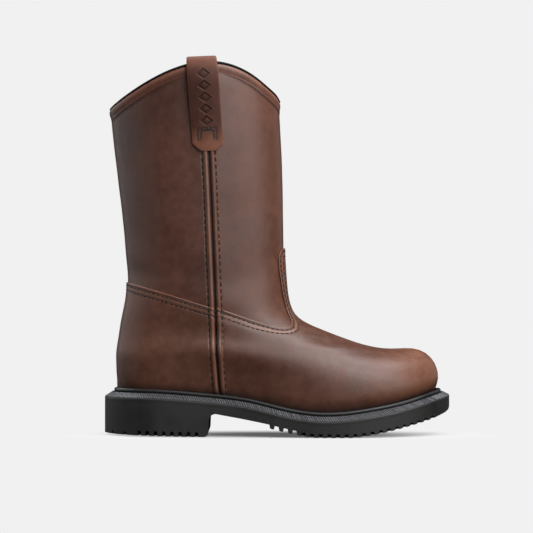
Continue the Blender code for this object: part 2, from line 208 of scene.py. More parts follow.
# %% [markdown]
# ## Floor
# The floor only has to carry the boot's soft shadow. Close to the sole it is matt paper that the softboxes
# light, and an oval fade takes it into the backdrop's own brightness, so that no horizon shows. A shadow
# catcher could do it too, but here the shadow's depth and reach are plain numbers.

# %% Floor
PAPER = 0.62
PAPER_OVAL = (0.185, 0.06, 1.0)
PAPER_MIDDLE = (0.0, -0.02, 0.0)
FADE_FROM, FADE_TO = 0.3, 1.15
GLOW_SHARE = 0.12

paper, tree, shader, place = new_finish("paper_floor")
offset = add_node(tree, "ShaderNodeVectorMath", {0: place, 1: PAPER_MIDDLE}, operation="SUBTRACT")
oval = add_node(tree, "ShaderNodeVectorMath", {0: offset.outputs[0], 1: PAPER_OVAL}, operation="DIVIDE")
length = add_node(tree, "ShaderNodeVectorMath", {0: oval.outputs[0]}, operation="LENGTH")
far = stretched(tree, length.outputs["Value"], FADE_FROM, FADE_TO, GLOW_SHARE, 1.0)
shader.inputs["Base Color"].default_value = (PAPER, PAPER, PAPER, 1)
shader.inputs["Roughness"].default_value = 0.9
shader.inputs["Specular IOR Level"].default_value = 0.0
glow = add_node(tree, "ShaderNodeEmission", {"Color": (BACKDROP, BACKDROP, BACKDROP, 1)}).outputs[0]
blend = add_node(tree, "ShaderNodeMixShader", {0: far, 1: shader.outputs[0], 2: glow})
tree.links.new(blend.outputs[0], tree.nodes["Material Output"].inputs["Surface"])

FLOOR_RADIUS = 6.0
FLOOR_CORNERS = 64
FLOOR_HEIGHT = -0.0002
rim_turns = np.linspace(0, 2 * math.pi, FLOOR_CORNERS, endpoint=False)
floor_mesh = bpy.data.meshes.new("floor")
floor_points = [(FLOOR_RADIUS * math.cos(t), FLOOR_RADIUS * math.sin(t), FLOOR_HEIGHT) for t in rim_turns]
floor_mesh.from_pydata(floor_points, [], [tuple(range(FLOOR_CORNERS))])
floor_mesh.materials.append(paper)
floor = bpy.data.objects.new("floor", floor_mesh)
floor.visible_glossy = False
floor.visible_diffuse = False
bpy.context.scene.collection.objects.link(floor)
print("floor radius:", FLOOR_RADIUS, "m")

# %% [markdown]
# ## The shape of the leather
# A shoemaker pulls the leather over a last, a wooden foot. The last is described here as a stack of rings,
# each from a point on the back line to one on the front line, with its half width at four stations. Splines
# join the rings. The CAD solids come from nearly the same table, so every panel lies close to its solid.
# Sculpting would give a shape too, but a table can be measured and corrected row by row.

# %% The last's rings
WALL = 2.4
GAP = 0.35
WAIST_BOW = 0.28
RAND_HEIGHT = 4.0

# swing carries the front end to the inner side, follow is the share of the sole's dip that a ring keeps,
# and crown the share of the collar's rise at the sides
RING_COLUMNS = (
    *("back_x", "back_z", "front_x", "front_z"),
    *("heel", "waist", "ball", "toe"),
    *("swing", "follow", "crown"),
)
RINGS = (
    ("sole edge", -143.4, 38.0, 141.0, 36.3, 64.0, 36.0, 50.0, 65.0, 10.0, 1.00, 0.00),
    ("low wall", -145.0, 48.0, 143.4, 48.0, 66.0, 37.5, 51.0, 69.0, 10.0, 0.86, 0.00),
    ("mid wall", -145.2, 57.0, 142.8, 57.5, 66.5, 38.0, 50.5, 68.0, 10.0, 0.70, 0.00),
    ("toe shoulder", -145.0, 64.5, 138.4, 66.8, 66.0, 38.5, 49.2, 61.0, 9.6, 0.55, 0.00),
    ("toe round", -144.8, 69.5, 130.0, 73.3, 65.0, 38.5, 46.8, 52.0, 8.6, 0.45, 0.00),
    ("toe top", -144.5, 73.5, 116.0, 76.8, 63.5, 38.5, 45.0, 41.0, 7.2, 0.36, 0.00),
    ("toe dip", -144.2, 78.5, 97.5, 76.7, 61.0, 38.5, 44.3, 48.5, 5.4, 0.24, 0.00),
    ("vamp", -143.6, 85.5, 75.0, 80.6, 57.5, 38.5, 43.1, 52.0, 3.6, 0.15, 0.00),
    ("vamp rise", -142.5, 94.5, 51.0, 88.9, 53.5, 39.0, 42.3, 49.0, 2.2, 0.08, 0.00),
    ("instep", -140.9, 103.5, 30.0, 97.4, 50.0, 39.5, 42.0, 47.0, 1.3, 0.03, 0.00),
    ("throat", -138.7, 113.0, 15.6, 105.8, 47.5, 40.0, 41.5, 45.0, 0.7, 0.00, 0.00),
    ("ankle", -136.4, 124.0, 9.2, 119.0, 45.0, 40.5, 41.5, 43.0, 0.3, 0.00, 0.00),
    ("ankle top", -134.8, 138.0, 6.6, 139.0, 43.0, 41.2, 41.5, 41.5, 0.0, 0.00, 0.00),
    ("low shaft", -136.4, 162.0, 5.3, 164.0, 42.5, 42.2, 42.0, 42.0, 0.0, 0.00, 0.04),
    ("mid shaft", -140.0, 200.0, 4.8, 201.0, 44.0, 44.0, 44.0, 44.0, 0.0, 0.00, 0.20),
    ("high shaft", -145.0, 243.0, 3.7, 244.0, 46.0, 46.0, 46.0, 46.0, 0.0, 0.00, 0.55),
    ("collar", -150.0, 287.5, 0.8, 297.0, 47.5, 47.5, 47.5, 47.5, 0.0, 0.00, 1.00),
)

# Where the leather meets the rubber, seen from the side (x, z)
RAND_LINE = (
    ("heel back", -156.0, 42.0),
    ("heel", -110.0, 42.0),
    ("heel breast", -62.0, 38.6),
    ("arch", -25.0, 34.0),
    ("behind ball", 10.0, 25.8),
    ("ball", 45.0, 22.4),
    ("before ball", 80.0, 26.0),
    ("toe", 117.0, 33.3),
    ("toe end", 142.0, 40.0),
    ("past the toe", 156.0, 43.0),
)

# Rise of the collar between its back, at 0 degrees, and its front, at 180
RIM_RISE = (
    ("mirrored back", -43.0, 14.3),
    ("back", 0.0, 2.4),
    ("back quarter", 43.0, 14.3),
    ("behind the loop", 73.0, 29.6),
    ("loop", 102.0, 35.6),
    ("front quarter", 133.0, 22.7),
    ("before the front", 149.0, 12.0),
    ("beside the front", 162.0, 5.6),
    ("front", 180.0, 0.0),
    ("mirrored front", 198.0, 5.6),
)

# Side seam from the sole to the collar (z, x)
SIDE_SEAM = (
    ("sole", 35.0, -51.2),
    ("heel side", 72.0, -53.7),
    ("counter seam", 106.0, -55.1),
    ("ankle", 164.0, -57.5),
    ("loop end", 255.0, -61.5),
    ("collar", 330.0, -67.0),
)

# How far the sole's edge stands out from the foot of the leather
EDGE_STATIONS = {"heel": 11.9, "waist": 8.5, "ball": 9.0, "toe": 14.0}
print("rings:", len(RINGS))

# %% [markdown]
# ## Splines
# A table gives only a few places, and the leather runs smoothly through them. A natural cubic spline takes
# the line of a thin batten that is bent round pins. A Blender curve could do that too, but here all the
# sizes of a ring are wanted at once, so the spline is solved for every column of a table together.

# %% Splines


def columns(table):
    """The two number columns of a named table."""
    return [row[1] for row in table], [row[2] for row in table]


def spline(knots, values, at):
    """Values at the given places of the natural cubic spline through the knots, column by column."""
    knots, values, at = (np.asarray(v, float) for v in (knots, values, at))
    step = np.diff(knots)
    matrix = np.eye(len(knots))
    right = np.zeros_like(values)
    for i in range(1, len(knots) - 1):
        matrix[i, i - 1 : i + 2] = step[i - 1], 2 * (step[i - 1] + step[i]), step[i]
        slopes = (values[i + 1] - values[i]) / step[i], (values[i] - values[i - 1]) / step[i - 1]
        right[i] = 6 * (slopes[0] - slopes[1])
    bend = np.linalg.solve(matrix, right)
    i = np.clip(np.searchsorted(knots, at) - 1, 0, len(step) - 1)
    shape = at.shape + (1,) * (values.ndim - 1)
    h = step[i].reshape(shape)
    b = ((at - knots[i]) / step[i]).reshape(shape)
    a = 1 - b
    curve = ((a**3 - a) * bend[i] + (b**3 - b) * bend[i + 1]) * h**2 / 6
    return a * values[i] + b * values[i + 1] + curve


def through_four(first, second, third, last, along):
    """Cubic through four values that stand at 0, 1/3, 2/3 and 1."""
    u = 3 * along
    return (
        first * (1 - u) * (2 - u) * (3 - u) / 6
        + second * u * (2 - u) * (3 - u) / 2
        - third * u * (1 - u) * (3 - u) / 2
        + last * u * (1 - u) * (2 - u) / 6
    )


def smooth_step(low, high, value):
    share = np.clip((value - low) / (high - low), 0, 1)
    return share * share * (3 - 2 * share)


def bell(value, middle, half):
    """A soft hump of height 1 round a middle."""
    return np.exp(-(((value - middle) / half) ** 2))


def travel_along(points):
    """Distance along a line of points, from its first point."""
    return np.concatenate([[0.0], np.cumsum(np.linalg.norm(np.diff(points, axis=0), axis=1))])


def unit(vectors):
    return vectors / np.linalg.norm(vectors, axis=-1, keepdims=True)


RING_VALUES = np.array([row[1:] for row in RINGS])
BACK_TRAVEL = np.linalg.norm(np.diff(RING_VALUES[:, 0:2], axis=0), axis=1)
FRONT_TRAVEL = np.linalg.norm(np.diff(RING_VALUES[:, 2:4], axis=0), axis=1)
RING_LEVELS = np.concatenate([[0.0], np.cumsum((BACK_TRAVEL + FRONT_TRAVEL) / 2)])
TOP_LEVEL = RING_LEVELS[-1]
print("leather from the sole to the collar:", round(TOP_LEVEL), "mm")

# %% [markdown]
# ## From the table to a surface
# A place on the leather is named by its level, in millimetres up from the sole, and its angle round the
# leg: 0 is the back line, 90 degrees the outer side and 180 the front line. The table's rings leave tiny
# waves, so the surface averages a few levels above and below, as leather under tension does.

# %% Points on the leather


def rand_height(x):
    return spline(*columns(RAND_LINE), x)


def seat_height(x):
    """Height of the sole's seat, on which the leather stands."""
    return rand_height(x) - RAND_HEIGHT


def rim_rise(angle):
    turned = np.degrees(angle) % 360
    return spline(*columns(RIM_RISE), np.where(turned > 180, 360 - turned, turned))


def last_point(level, angle):
    """Points on the last's surface, straight from the table."""
    level, angle = np.broadcast_arrays(np.asarray(level, float), np.asarray(angle, float))
    ring = dict(zip(RING_COLUMNS, np.moveaxis(spline(RING_LEVELS, RING_VALUES, level), -1, 0)))
    foot = dict(zip(RING_COLUMNS, RING_VALUES[0]))
    along = (1 - np.cos(angle)) / 2
    x = ring["back_x"] + (ring["front_x"] - ring["back_x"]) * along
    foot_x = foot["back_x"] + (foot["front_x"] - foot["back_x"]) * along
    dip = seat_height(foot_x) + GAP - (foot["back_z"] + (foot["front_z"] - foot["back_z"]) * along)
    z = ring["back_z"] + (ring["front_z"] - ring["back_z"]) * along
    z = z + ring["follow"] * dip + ring["crown"] * rim_rise(angle)
    half_width = through_four(ring["heel"], ring["waist"], ring["ball"], ring["toe"], along)
    middle = ring["swing"] * (along**3 - WAIST_BOW * 4 * along * (1 - along))
    return np.stack([x, middle - np.sin(angle) * half_width, z], axis=-1)


# Reach of the averaging along the level, and what the foot's sides add to it between two pairs of levels
EVEN_REACH = 8.0
SIDE_REACH = 22.0
SIDE_BEGINS, SIDE_ENDS = (16, 44), (62, 90)

# Levels between which the reach falls at the throat, and its share that is lost
THROAT_LEVELS, THROAT_LOSS = (92, 108), 0.5
EVEN_STEPS = np.linspace(-1, 1, 7)
EVEN_SHARES = np.exp(-2 * EVEN_STEPS**2) / np.exp(-2 * EVEN_STEPS**2).sum()


def skin_point(level, angle):
    """Points on the outside of the leather, evened out along the level."""
    level, angle = np.broadcast_arrays(np.asarray(level, float), np.asarray(angle, float))
    beside_foot = smooth_step(*SIDE_BEGINS, level) * (1 - smooth_step(*SIDE_ENDS, level)) * np.sin(angle) ** 2
    limit = EVEN_REACH * (1 - THROAT_LOSS * smooth_step(*THROAT_LEVELS, level)) + SIDE_REACH * beside_foot
    reach = np.clip(np.minimum(level, TOP_LEVEL - level), 0, limit)
    pairs = zip(EVEN_STEPS, EVEN_SHARES)
    return sum(share * last_point(level + step * reach, angle) for step, share in pairs)


def slopes_of(level, angle, surface=skin_point):
    """How the point moves for a step of level and for a step of angle."""
    by_level, by_angle = 0.05, 0.001
    up = (surface(level + by_level, angle) - surface(level - by_level, angle)) / (2 * by_level)
    around = (surface(level, angle + by_angle) - surface(level, angle - by_angle)) / (2 * by_angle)
    return up, around


def skin_normal(level, angle):
    up, around = slopes_of(level, angle)
    return unit(np.cross(around, up))


def off_skin(level, angle, n):
    """Points at the distance n outside the leather's outer face."""
    level, angle, n = np.broadcast_arrays(*(np.asarray(v, float) for v in (level, angle, n)))
    return skin_point(level, angle) + n[..., None] * skin_normal(level, angle)


def plan_normal(level, angle):
    up, around = slopes_of(level, angle, last_point)
    return unit(np.cross(around, up) * (1, 1, 0))


def sole_outline(angle):
    """Outer edge of the sole in plan."""
    along = (1 - np.cos(angle)) / 2
    foot = last_point(0.0 * angle, angle)
    return foot + through_four(*EDGE_STATIONS.values(), along)[..., None] * plan_normal(0.0 * angle, angle)


SIDE_CROWDING = 0.15


def ring_angles(count):
    """Angles round a ring, set closer along the sides, where the sole's line bends."""
    turn = np.arange(count) * 2 * math.pi / count
    return turn + SIDE_CROWDING * np.sin(2 * turn)


OUTLINE_POINTS = 44
OUTLINE = sole_outline(ring_angles(OUTLINE_POINTS))
CENTRE = np.append((OUTLINE.min(axis=0) + OUTLINE.max(axis=0))[:2] / 2, 0.0)
print("sole:", np.round(np.ptp(OUTLINE, axis=0)[:2], 1), "mm")

# %% [markdown]
# ## Making meshes
# Most pieces are grids of points, because leather is measured so far up and so far round. One helper turns
# a grid into a mesh object at the origin. Another settles an object, which means that its modifiers are
# worked out once and their result becomes a plain mesh.

# %% Mesh helpers


def grid_faces(rows, count, closed_rows=False, closed_columns=False):
    """Quads of a grid of points, with rows from one side to the other."""
    row = np.arange(rows if closed_rows else rows - 1)[:, None]
    column = np.arange(count if closed_columns else count - 1)[None, :]
    next_row = (row + 1) % rows
    next_column = (column + 1) % count
    near, far = row * count, next_row * count
    corners = (near + column, near + next_column, far + next_column, far + column)
    return np.stack(np.broadcast_arrays(*corners), axis=-1).reshape(-1, 4).tolist()


def make_mesh(name, points, faces, finishes, marks=None, edges=()):
    """A mesh object from points in millimetres. marks are numbers per point that finishes can read."""
    mesh = bpy.data.meshes.new(name)
    points = np.asarray(points, float).reshape(-1, 3)
    mesh.from_pydata(((points - CENTRE) * MM).tolist(), list(edges), faces)
    for finish in finishes:
        mesh.materials.append(finish)
    for mark, values in (marks or {}).items():
        values = np.asarray(values, np.float32)
        is_vector = values.ndim > 1 and values.shape[-1] == 3
        kind, key = ("FLOAT_VECTOR", "vector") if is_vector else ("FLOAT", "value")
        mesh.attributes.new(mark, kind, "POINT").data.foreach_set(key, values.ravel())
    mesh.update()
    made = bpy.data.objects.new(name, mesh)
    bpy.context.scene.collection.objects.link(made)
    return made


def face_outwards(obj):
    """Turns every face of a closed mesh outwards."""
    work = bmesh.new()
    work.from_mesh(obj.data)
    bmesh.ops.recalc_face_normals(work, faces=work.faces)
    work.to_mesh(obj.data)
    work.free()
    return obj


def settle(obj, sharp=50):
    """Replaces an object's mesh by what its modifiers make of it, shaded smooth except at sharp angles."""
    bpy.context.view_layer.update()
    ready = obj.evaluated_get(bpy.context.evaluated_depsgraph_get())
    mesh = bpy.data.meshes.new_from_object(ready)
    obj.modifiers.clear()
    old = obj.data
    obj.data = mesh
    bpy.data.meshes.remove(old)
    mesh.name = obj.name
    mesh.shade_smooth()
    mesh.set_sharp_from_angle(angle=math.radians(sharp))
    return obj


def thicken(obj, thickness, sharp=50):
    """Gives a sheet its leather thickness inwards. The cut edge takes the second finish."""
    solid = obj.modifiers.new("thickness", "SOLIDIFY")
    solid.thickness = thickness * MM
    solid.offset = -1
    solid.material_offset_rim = len(obj.data.materials) - 1
    return settle(obj, sharp)


def hand_in(obj, slot, *nodes):
    """Hangs a finished piece on the boot and hides the CAD nodes that it stands for. slot is not used."""
    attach(obj, "root")
    if nodes:
        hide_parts(*nodes)
    obj.data.calc_loop_triangles()
    print(obj.name, "triangles:", len(obj.data.loop_triangles))


print("centre of the sole before it moves to the origin:", np.round(CENTRE[:2], 2))

# %% [markdown]
# ## Oiled leather
# The hide is dyed a red brown and waxed. Its colour drifts over hand-sized areas. The toe gets a warmer tan,
# partly burnish and partly painted light where it faces the lamps, and the shaft's front and the pull loop's
# sewn end get painted light. Painted shade darkens the seam grooves, the leather's foot at the welt and the
# hem's lower edge, and the pull loop's pressed pattern and stitch rows are darker. Cut edges are lighter with
# wear, the seam rolls and the hem's crest partly with wear and partly as a painted highlight, and painted
# highlights lighten the stitch rows, the strip between a lap's rows and the pull loop's top fold. Marks that
# the panels carry say where. The grain is a bump of small cells, and the wax makes a broad, rather dull
# shine. A photo of leather could be used as a texture, but a procedural finish has no seams and no fixed
# size.

# %% Leather finishes
# Scales of the leather's patterns, from hand-sized areas down to pores
LEATHER_SCALES = {"drift": 16, "mottle": 130, "cells": 850, "pores": 2100}
GRAIN = {"strength": 0.16, "distance": 0.0003}
# Dark colour of painted shade in grooves, at the leather's foot and under the hem, and of the pull loop's
# darker pressed pattern and stitch rows
SHADE_AND_MARK_COLOUR = linear(24, 13, 9)


def leather(name, deep, plain, burnished_and_lit, worn_and_lit, gloss, shine=0.5):
    """Leather with its four colours, its roughness and the strength of its shine."""
    finish, tree, shader, place = new_finish(name)
    drift = noise_at(tree, place, LEATHER_SCALES["drift"], 3)
    mottle = noise_at(tree, place, LEATHER_SCALES["mottle"], 4, 0.6)
    colour = mixed(tree, stretched(tree, drift, 0.35, 0.68), deep, plain)
    # The burnish mark warms the colour: an even tone on the counter and the vamp, burnish and painted light
    # on the toe, and painted light on the shaft's front and the pull loop's sewn end
    colour = mixed(tree, attribute(tree, "burnish_and_painted_light"), colour, burnished_and_lit)
    dapple = stretched(tree, mottle, 0.3, 0.7, 0.88, 1.10)
    tone = add_node(tree, "ShaderNodeCombineColor", {0: dapple, 1: dapple, 2: dapple}).outputs[0]
    colour = mixed(tree, 1.0, colour, tone, "MULTIPLY")
    # The stretch mark lightens the colour: wear on cut edges and the loop's edges, wear and a painted
    # highlight on the seam rolls and the hem's crest, painted highlights along stitch rows, between a lap's
    # rows and on the loop's top fold, and a paler rim round the loop's pressed pattern
    colour = mixed(tree, attribute(tree, "stretch"), colour, worn_and_lit)
    # The fold mark darkens the colour: painted shade in the seam grooves, at the leather's foot by the welt
    # and along the hem's lower edge, and the darker pressed pattern and stitch rows of the pull loop
    colour_by(tree, shader, attribute(tree, "fold"), colour, SHADE_AND_MARK_COLOUR)
    sheen = stretched(tree, mottle, 0.25, 0.75, gloss - 0.05, gloss + 0.07)
    tree.links.new(sheen, shader.inputs["Roughness"])
    cell_settings = {"Vector": place, "Scale": LEATHER_SCALES["cells"]}
    cells = add_node(tree, "ShaderNodeTexVoronoi", cell_settings, feature="SMOOTH_F1").outputs["Distance"]
    pores = noise_at(tree, place, LEATHER_SCALES["pores"], 2)
    bump_by(tree, shader, combined(tree, "ADD", cells, pores), **GRAIN)
    shader.inputs["Specular IOR Level"].default_value = shine
    return finish


# Deep and plain colour, warmer colour of burnish and of painted light on the toe, the shaft's front and the
# loop's end, pale colour of worn edges and of painted highlights on rolls, stitch rows and folds
UPPER_COLOURS = linear(74, 45, 36), linear(88, 55, 44), linear(122, 80, 60), linear(142, 94, 70)
HEM_COLOURS = linear(90, 55, 44), linear(106, 67, 54), linear(118, 72, 50), linear(150, 102, 82)
LOOP_COLOURS = linear(64, 37, 29), linear(76, 45, 35), linear(128, 82, 64), linear(132, 86, 68)
upper_leather = leather("brown_upper_leather", *UPPER_COLOURS, 0.43)
hem_leather = leather("brown_hem_leather", *HEM_COLOURS, 0.42)
loop_leather = leather("brown_loop_leather", *LOOP_COLOURS, 0.52, 0.15)

raw_edge, tree, shader, place = new_finish("raw_edge")
FIBRE_SCALE = 1500
fibres = noise_at(tree, place, FIBRE_SCALE, 3)
colour_by(tree, shader, fibres, linear(108, 66, 42), linear(150, 98, 64))
shader.inputs["Roughness"].default_value = 0.75
print("leather finishes:", [m.name for m in bpy.data.materials if "leather" in m.name or "edge" in m.name])

# %% [markdown]
# ## Side seam
# On each side the front and back leather meet in a seam from the collar to the sole. Both edges are turned
# into a roll, with a groove between them and a row of stitches beside each. A tube could stand for a roll.
# Here the rolls are heights of the panels themselves, so that the laps run across them as they really do.

# %% Side seam line
LOOP_DROP = 77.0

# Places across the seam, from its groove outwards: middle and half width of the roll, the stitch row, where
# and how much the roll is lightened, partly as wear and partly as a painted highlight on its toe-facing
# flank, and how much painted highlight the strip between the rows of a lap gets
SEAM_SIDES = {
    "back": {"roll": 3.0, "half": 2.3, "row": 5.8, "worn_and_lit": 1.9, "wear_and_highlight": 0.45, "lap": 0.2},
    "front": {"roll": 3.2, "half": 2.1, "row": 6.1, "worn_and_lit": 4.4, "wear_and_highlight": 0.1, "lap": 0.5},
}
ROLL_HEIGHT = 2.0
# GROOVE_SHADE is the strength of the painted shade in the groove
GROOVE_DEPTH, GROOVE_SHADE = 1.0, 0.95
ROW_PRESS, ROW_PRESS_HALF = 0.2, 0.8
# Painted highlight along each stitch row, where the leather between the stitches catches light, and its half
# width
ROW_HIGHLIGHT, ROW_HIGHLIGHT_HALF = 0.5, 0.9
CREST_WEAR_AND_HIGHLIGHT_HALF = 1.3
SEAM_POINTS, SEAM_ROUNDS = 300, 8


def seam_line():
    """Level, angle and drop below the rim along the outer side seam, from the rim down."""
    level = np.linspace(TOP_LEVEL, 0, SEAM_POINTS)
    angle = np.full(level.shape, math.pi / 2)
    for _ in range(SEAM_ROUNDS):
        point = skin_point(level, angle)
        ring = spline(RING_LEVELS, RING_VALUES, level)
        miss = (spline(*columns(SIDE_SEAM), point[:, 2]) - point[:, 0]) / (ring[:, 2] - ring[:, 0])
        angle = np.arccos(np.cos(angle) - 2 * miss)
    return level, angle, travel_along(skin_point(level, angle))


SEAM_LEVEL, SEAM_ANGLE, SEAM_DROP = seam_line()


def seam_angle(level):
    return np.interp(level, SEAM_LEVEL[::-1], SEAM_ANGLE[::-1])


def seam_drop(level):
    return np.interp(level, SEAM_LEVEL[::-1], SEAM_DROP[::-1])


def around_rate(level, angle):
    """Millimetres for a radian of angle."""
    return np.linalg.norm(slopes_of(level, angle)[1], axis=-1)


def folded(angle):
    """The angle on the outer side that matches an angle on either side."""
    turned = np.mod(angle, 2 * math.pi)
    return np.where(turned > math.pi, 2 * math.pi - turned, turned)


def seam_distance(level, angle):
    """Distance along the leather from the nearer side seam's groove."""
    outer = folded(angle)
    return np.abs(outer - seam_angle(level)) * around_rate(level, angle)


def seam_relief(distance, level, side):
    """Height of the roll and its stitch row, by the distance from the groove."""
    sizes = SEAM_SIDES[side]
    off_middle = (distance - sizes["roll"]) / sizes["half"]
    roll = ROLL_HEIGHT * np.sqrt(np.clip(1 - off_middle**2, 0, 1))
    groove = -GROOVE_DEPTH * (1 - smooth_step(0.3, sizes["roll"] - sizes["half"] + 0.3, distance))
    row = -ROW_PRESS * bell(distance, sizes["row"], ROW_PRESS_HALF)
    shown = smooth_step(LOOP_DROP - 8, LOOP_DROP - 2, seam_drop(level)) * smooth_step(1, 6, level)
    return shown * (roll + groove + row)


def seam_wear_and_highlight(distance, side):
    """Wear and a painted highlight on a roll's toe-facing flank, and a painted highlight along its stitch
    row.
    """
    sizes = SEAM_SIDES[side]
    crest = sizes["wear_and_highlight"] * bell(distance, sizes["worn_and_lit"], CREST_WEAR_AND_HIGHLIGHT_HALF)
    row = ROW_HIGHLIGHT * bell(distance, sizes["row"], ROW_HIGHLIGHT_HALF)
    return np.maximum(crest, row)


def groove_shade(distance):
    """Painted shade in the seam's groove, by the distance from it."""
    return GROOVE_SHADE * (1 - smooth_step(0.3, 1.0, distance))


print("side seam length:", round(SEAM_DROP[-1]), "mm")

# %% [markdown]
# ## Laps
# The vamp covers the foot and runs up the shin in a tongue, and the counter wraps the heel. Both are laid
# over the shaft and sewn down with two rows. A cloth simulation could lay one sheet on another, but a
# height that depends only on the distance from the edge is exact: full leather thickness at the edge, two
# pressed rows, then a long fall until the panel lies flush.

# %% Lap edges
# Upper edge of the vamp from the side seam to the top of its tongue (degrees, level)
VAMP_EDGE = (
    ("side seam", 96.4, 124.6),
    ("behind the seam's slope", 108.8, 118.0),
    ("slope", 117.8, 111.4),
    ("low slope", 124.5, 106.8),
    ("lowest", 131.0, 103.6),
    ("corner", 138.5, 104.6),
    ("corner rise", 147.0, 109.6),
    ("throat", 154.0, 115.0),
    ("narrow", 159.6, 122.5),
    ("tongue low", 160.6, 134.0),
    ("tongue middle", 158.6, 148.0),
    ("tongue high", 157.0, 160.5),
    ("tongue shoulder", 158.4, 169.6),
    ("tongue round", 163.6, 174.4),
    ("tongue top", 171.5, 176.1),
    ("front line", 180.0, 176.4),
)
COUNTER_BACK_LEVEL = 146.9
COUNTER_FALL = 42.5
LAP_RISE = 1.5
LAP_FLUSH = 0.25
LAP_FALL = (8, 75)
LAP_ROWS = (2.8, 7.2)
LAP_ROW_PRESS, LAP_ROW_HALF = 0.3, 0.9
LAP_EDGE_ROUND, LAP_EDGE_DROP = 0.7, 0.5
EDGE_POINTS = 700
EDGE_DEGREE = 0.75

# Points of the vamp's edge beside the seam, as far as its angle rises steadily
EDGE_BY_SEAM = 200


def vamp_edge():
    """Angle and level along the vamp's edge on the outer side, closely spaced."""
    table = np.array([row[1:] for row in VAMP_EDGE])
    travel = travel_along(table * (EDGE_DEGREE, 1.0))
    fine = spline(travel, table, np.linspace(0, travel[-1], EDGE_POINTS))
    return np.radians(fine[:, 0]), fine[:, 1]


def counter_level(angle):
    return COUNTER_BACK_LEVEL - COUNTER_FALL * (1 - np.cos(angle)) / 2


def lap_relief(distance):
    """Height of a lapped panel, by the distance from its edge."""
    rise = LAP_FLUSH + (LAP_RISE - LAP_FLUSH) * (1 - smooth_step(*LAP_FALL, distance))
    round_off = np.clip(1 - distance / LAP_EDGE_ROUND, 0, 1)
    rows = sum(bell(distance, row, LAP_ROW_HALF) for row in LAP_ROWS)
    return rise - LAP_EDGE_DROP * (1 - np.sqrt(1 - round_off**2)) - LAP_ROW_PRESS * rows


def distance_to(line, points):
    """Distance of each point from a closely spaced line of points."""
    tree = kdtree.KDTree(len(line))
    for i, point in enumerate(line):
        tree.insert(point, i)
    tree.balance()
    flat = points.reshape(-1, 3)
    return np.array([tree.find(point)[2] for point in flat]).reshape(points.shape[:-1])


EDGE_ANGLE, EDGE_LEVEL = vamp_edge()
print("vamp edge rises from level", round(EDGE_LEVEL.min()), "to", round(EDGE_LEVEL.max()))

# %% [markdown]
# ## Softness
# Leather on a last is never quite even. Soft troughs are placed where the ankle bends and the shaft
# settles, and bulges where the heel and the ball fill it. Noise alone would look like crumpled paper, so
# only a slow noise of a quarter of a millimetre is added, which keeps the highlights from looking machined.

# %% Soft troughs
# Angle and level of the two ends, width and depth, where a negative depth is a bulge
TROUGHS = (
    ("ankle front", 108.0, 148.0, 146.0, 162.0, 12.0, 0.5),
    ("ankle side", 62.0, 158.0, 88.0, 152.0, 10.0, 0.5),
    ("front lap", 104.0, 117.0, 122.0, 103.0, 10.0, 1.0),
    ("lap corner", 126.0, 101.0, 144.0, 103.0, 11.0, 1.3),
    ("mid shaft", 118.0, 205.0, 150.0, 214.0, 16.0, 0.5),
    ("shaft back", 20.0, 190.0, 60.0, 182.0, 14.0, 0.5),
    ("heel pinch", 18.0, 158.0, 46.0, 152.0, 9.0, 0.5),
    ("heel bulge", 30.0, 42.0, 76.0, 46.0, 30.0, -2.6),
    ("vamp bulge", 82.0, 58.0, 136.0, 12.0, 26.0, -2.9),
    ("vamp shoulder", 116.0, 68.0, 138.0, 62.0, 12.0, -1.0),
    ("instep front", 140.0, 90.0, 164.0, 108.0, 15.0, 1.2),
    ("toe side", 142.0, 48.0, 158.0, 44.0, 13.0, 1.6),
    ("vamp front line", 180.0, 66.0, 180.0, 104.0, 14.0, 0.6),
    ("toe dip", 170.0, 54.0, 180.0, 54.0, 9.0, 0.7),
    ("toe cap", 160.0, 14.0, 180.0, 14.0, 13.0, -0.8),
    ("toe crown", 166.0, 36.0, 180.0, 38.0, 9.0, -1.0),
    ("heel back line", 0.0, 16.0, 0.0, 126.0, 16.0, 1.5),
    ("shaft back line", 0.0, 236.0, 0.0, 290.0, 14.0, -0.45),
)
ANGLE_SCALE = 0.8
SEAM_RIDGE = 1.8
SEAM_RIDGE_REACH = 18.0
SEAM_RIDGE_ROUND = 6.0
SEAM_RIDGE_LEVELS = (90, 130)
NOISE_HEIGHT, NOISE_SIZE = 0.25, 30

# Distance from the sole and from the rim over which the leather becomes even
EVEN_FOOT, EVEN_RIM = 12, 14


def softness(level, angle):
    """Small heights of the leather, from the troughs and a slow noise."""
    level, angle = np.broadcast_arrays(level, angle)
    here = np.stack([np.degrees(folded(angle)) * ANGLE_SCALE, level], axis=-1)
    height = np.zeros(level.shape)
    for _, angle_a, level_a, angle_b, level_b, width, depth in TROUGHS:
        start = np.array([angle_a * ANGLE_SCALE, level_a])
        run = np.array([angle_b * ANGLE_SCALE, level_b]) - start
        along = np.clip(((here - start) @ run) / (run @ run), 0, 1)
        apart = np.linalg.norm(here - start - along[..., None] * run, axis=-1)
        height -= depth * bell(apart, 0.0, width)
    points = skin_point(level, angle).reshape(-1, 3) / NOISE_SIZE
    slow = np.array([noise.noise(point) for point in points]).reshape(level.shape)
    away = np.hypot(seam_distance(level, angle), SEAM_RIDGE_ROUND) - SEAM_RIDGE_ROUND
    ridge = SEAM_RIDGE * np.exp(-away / SEAM_RIDGE_REACH) * smooth_step(*SEAM_RIDGE_LEVELS, level)
    height = (height + NOISE_HEIGHT * slow + ridge) * smooth_step(0, EVEN_FOOT, level)
    return height * smooth_step(0, EVEN_RIM, TOP_LEVEL - level)


print("troughs placed by hand:", len(TROUGHS), "on each side")

# %% [markdown]
# ## Panels
# A panel starts at one side seam and ends at the other. Its columns stand close together near the seams,
# where the roll is, and wide apart in the middle, because an even grid would need several times as many
# faces to show the roll. The inner half mirrors the angles of the outer half.

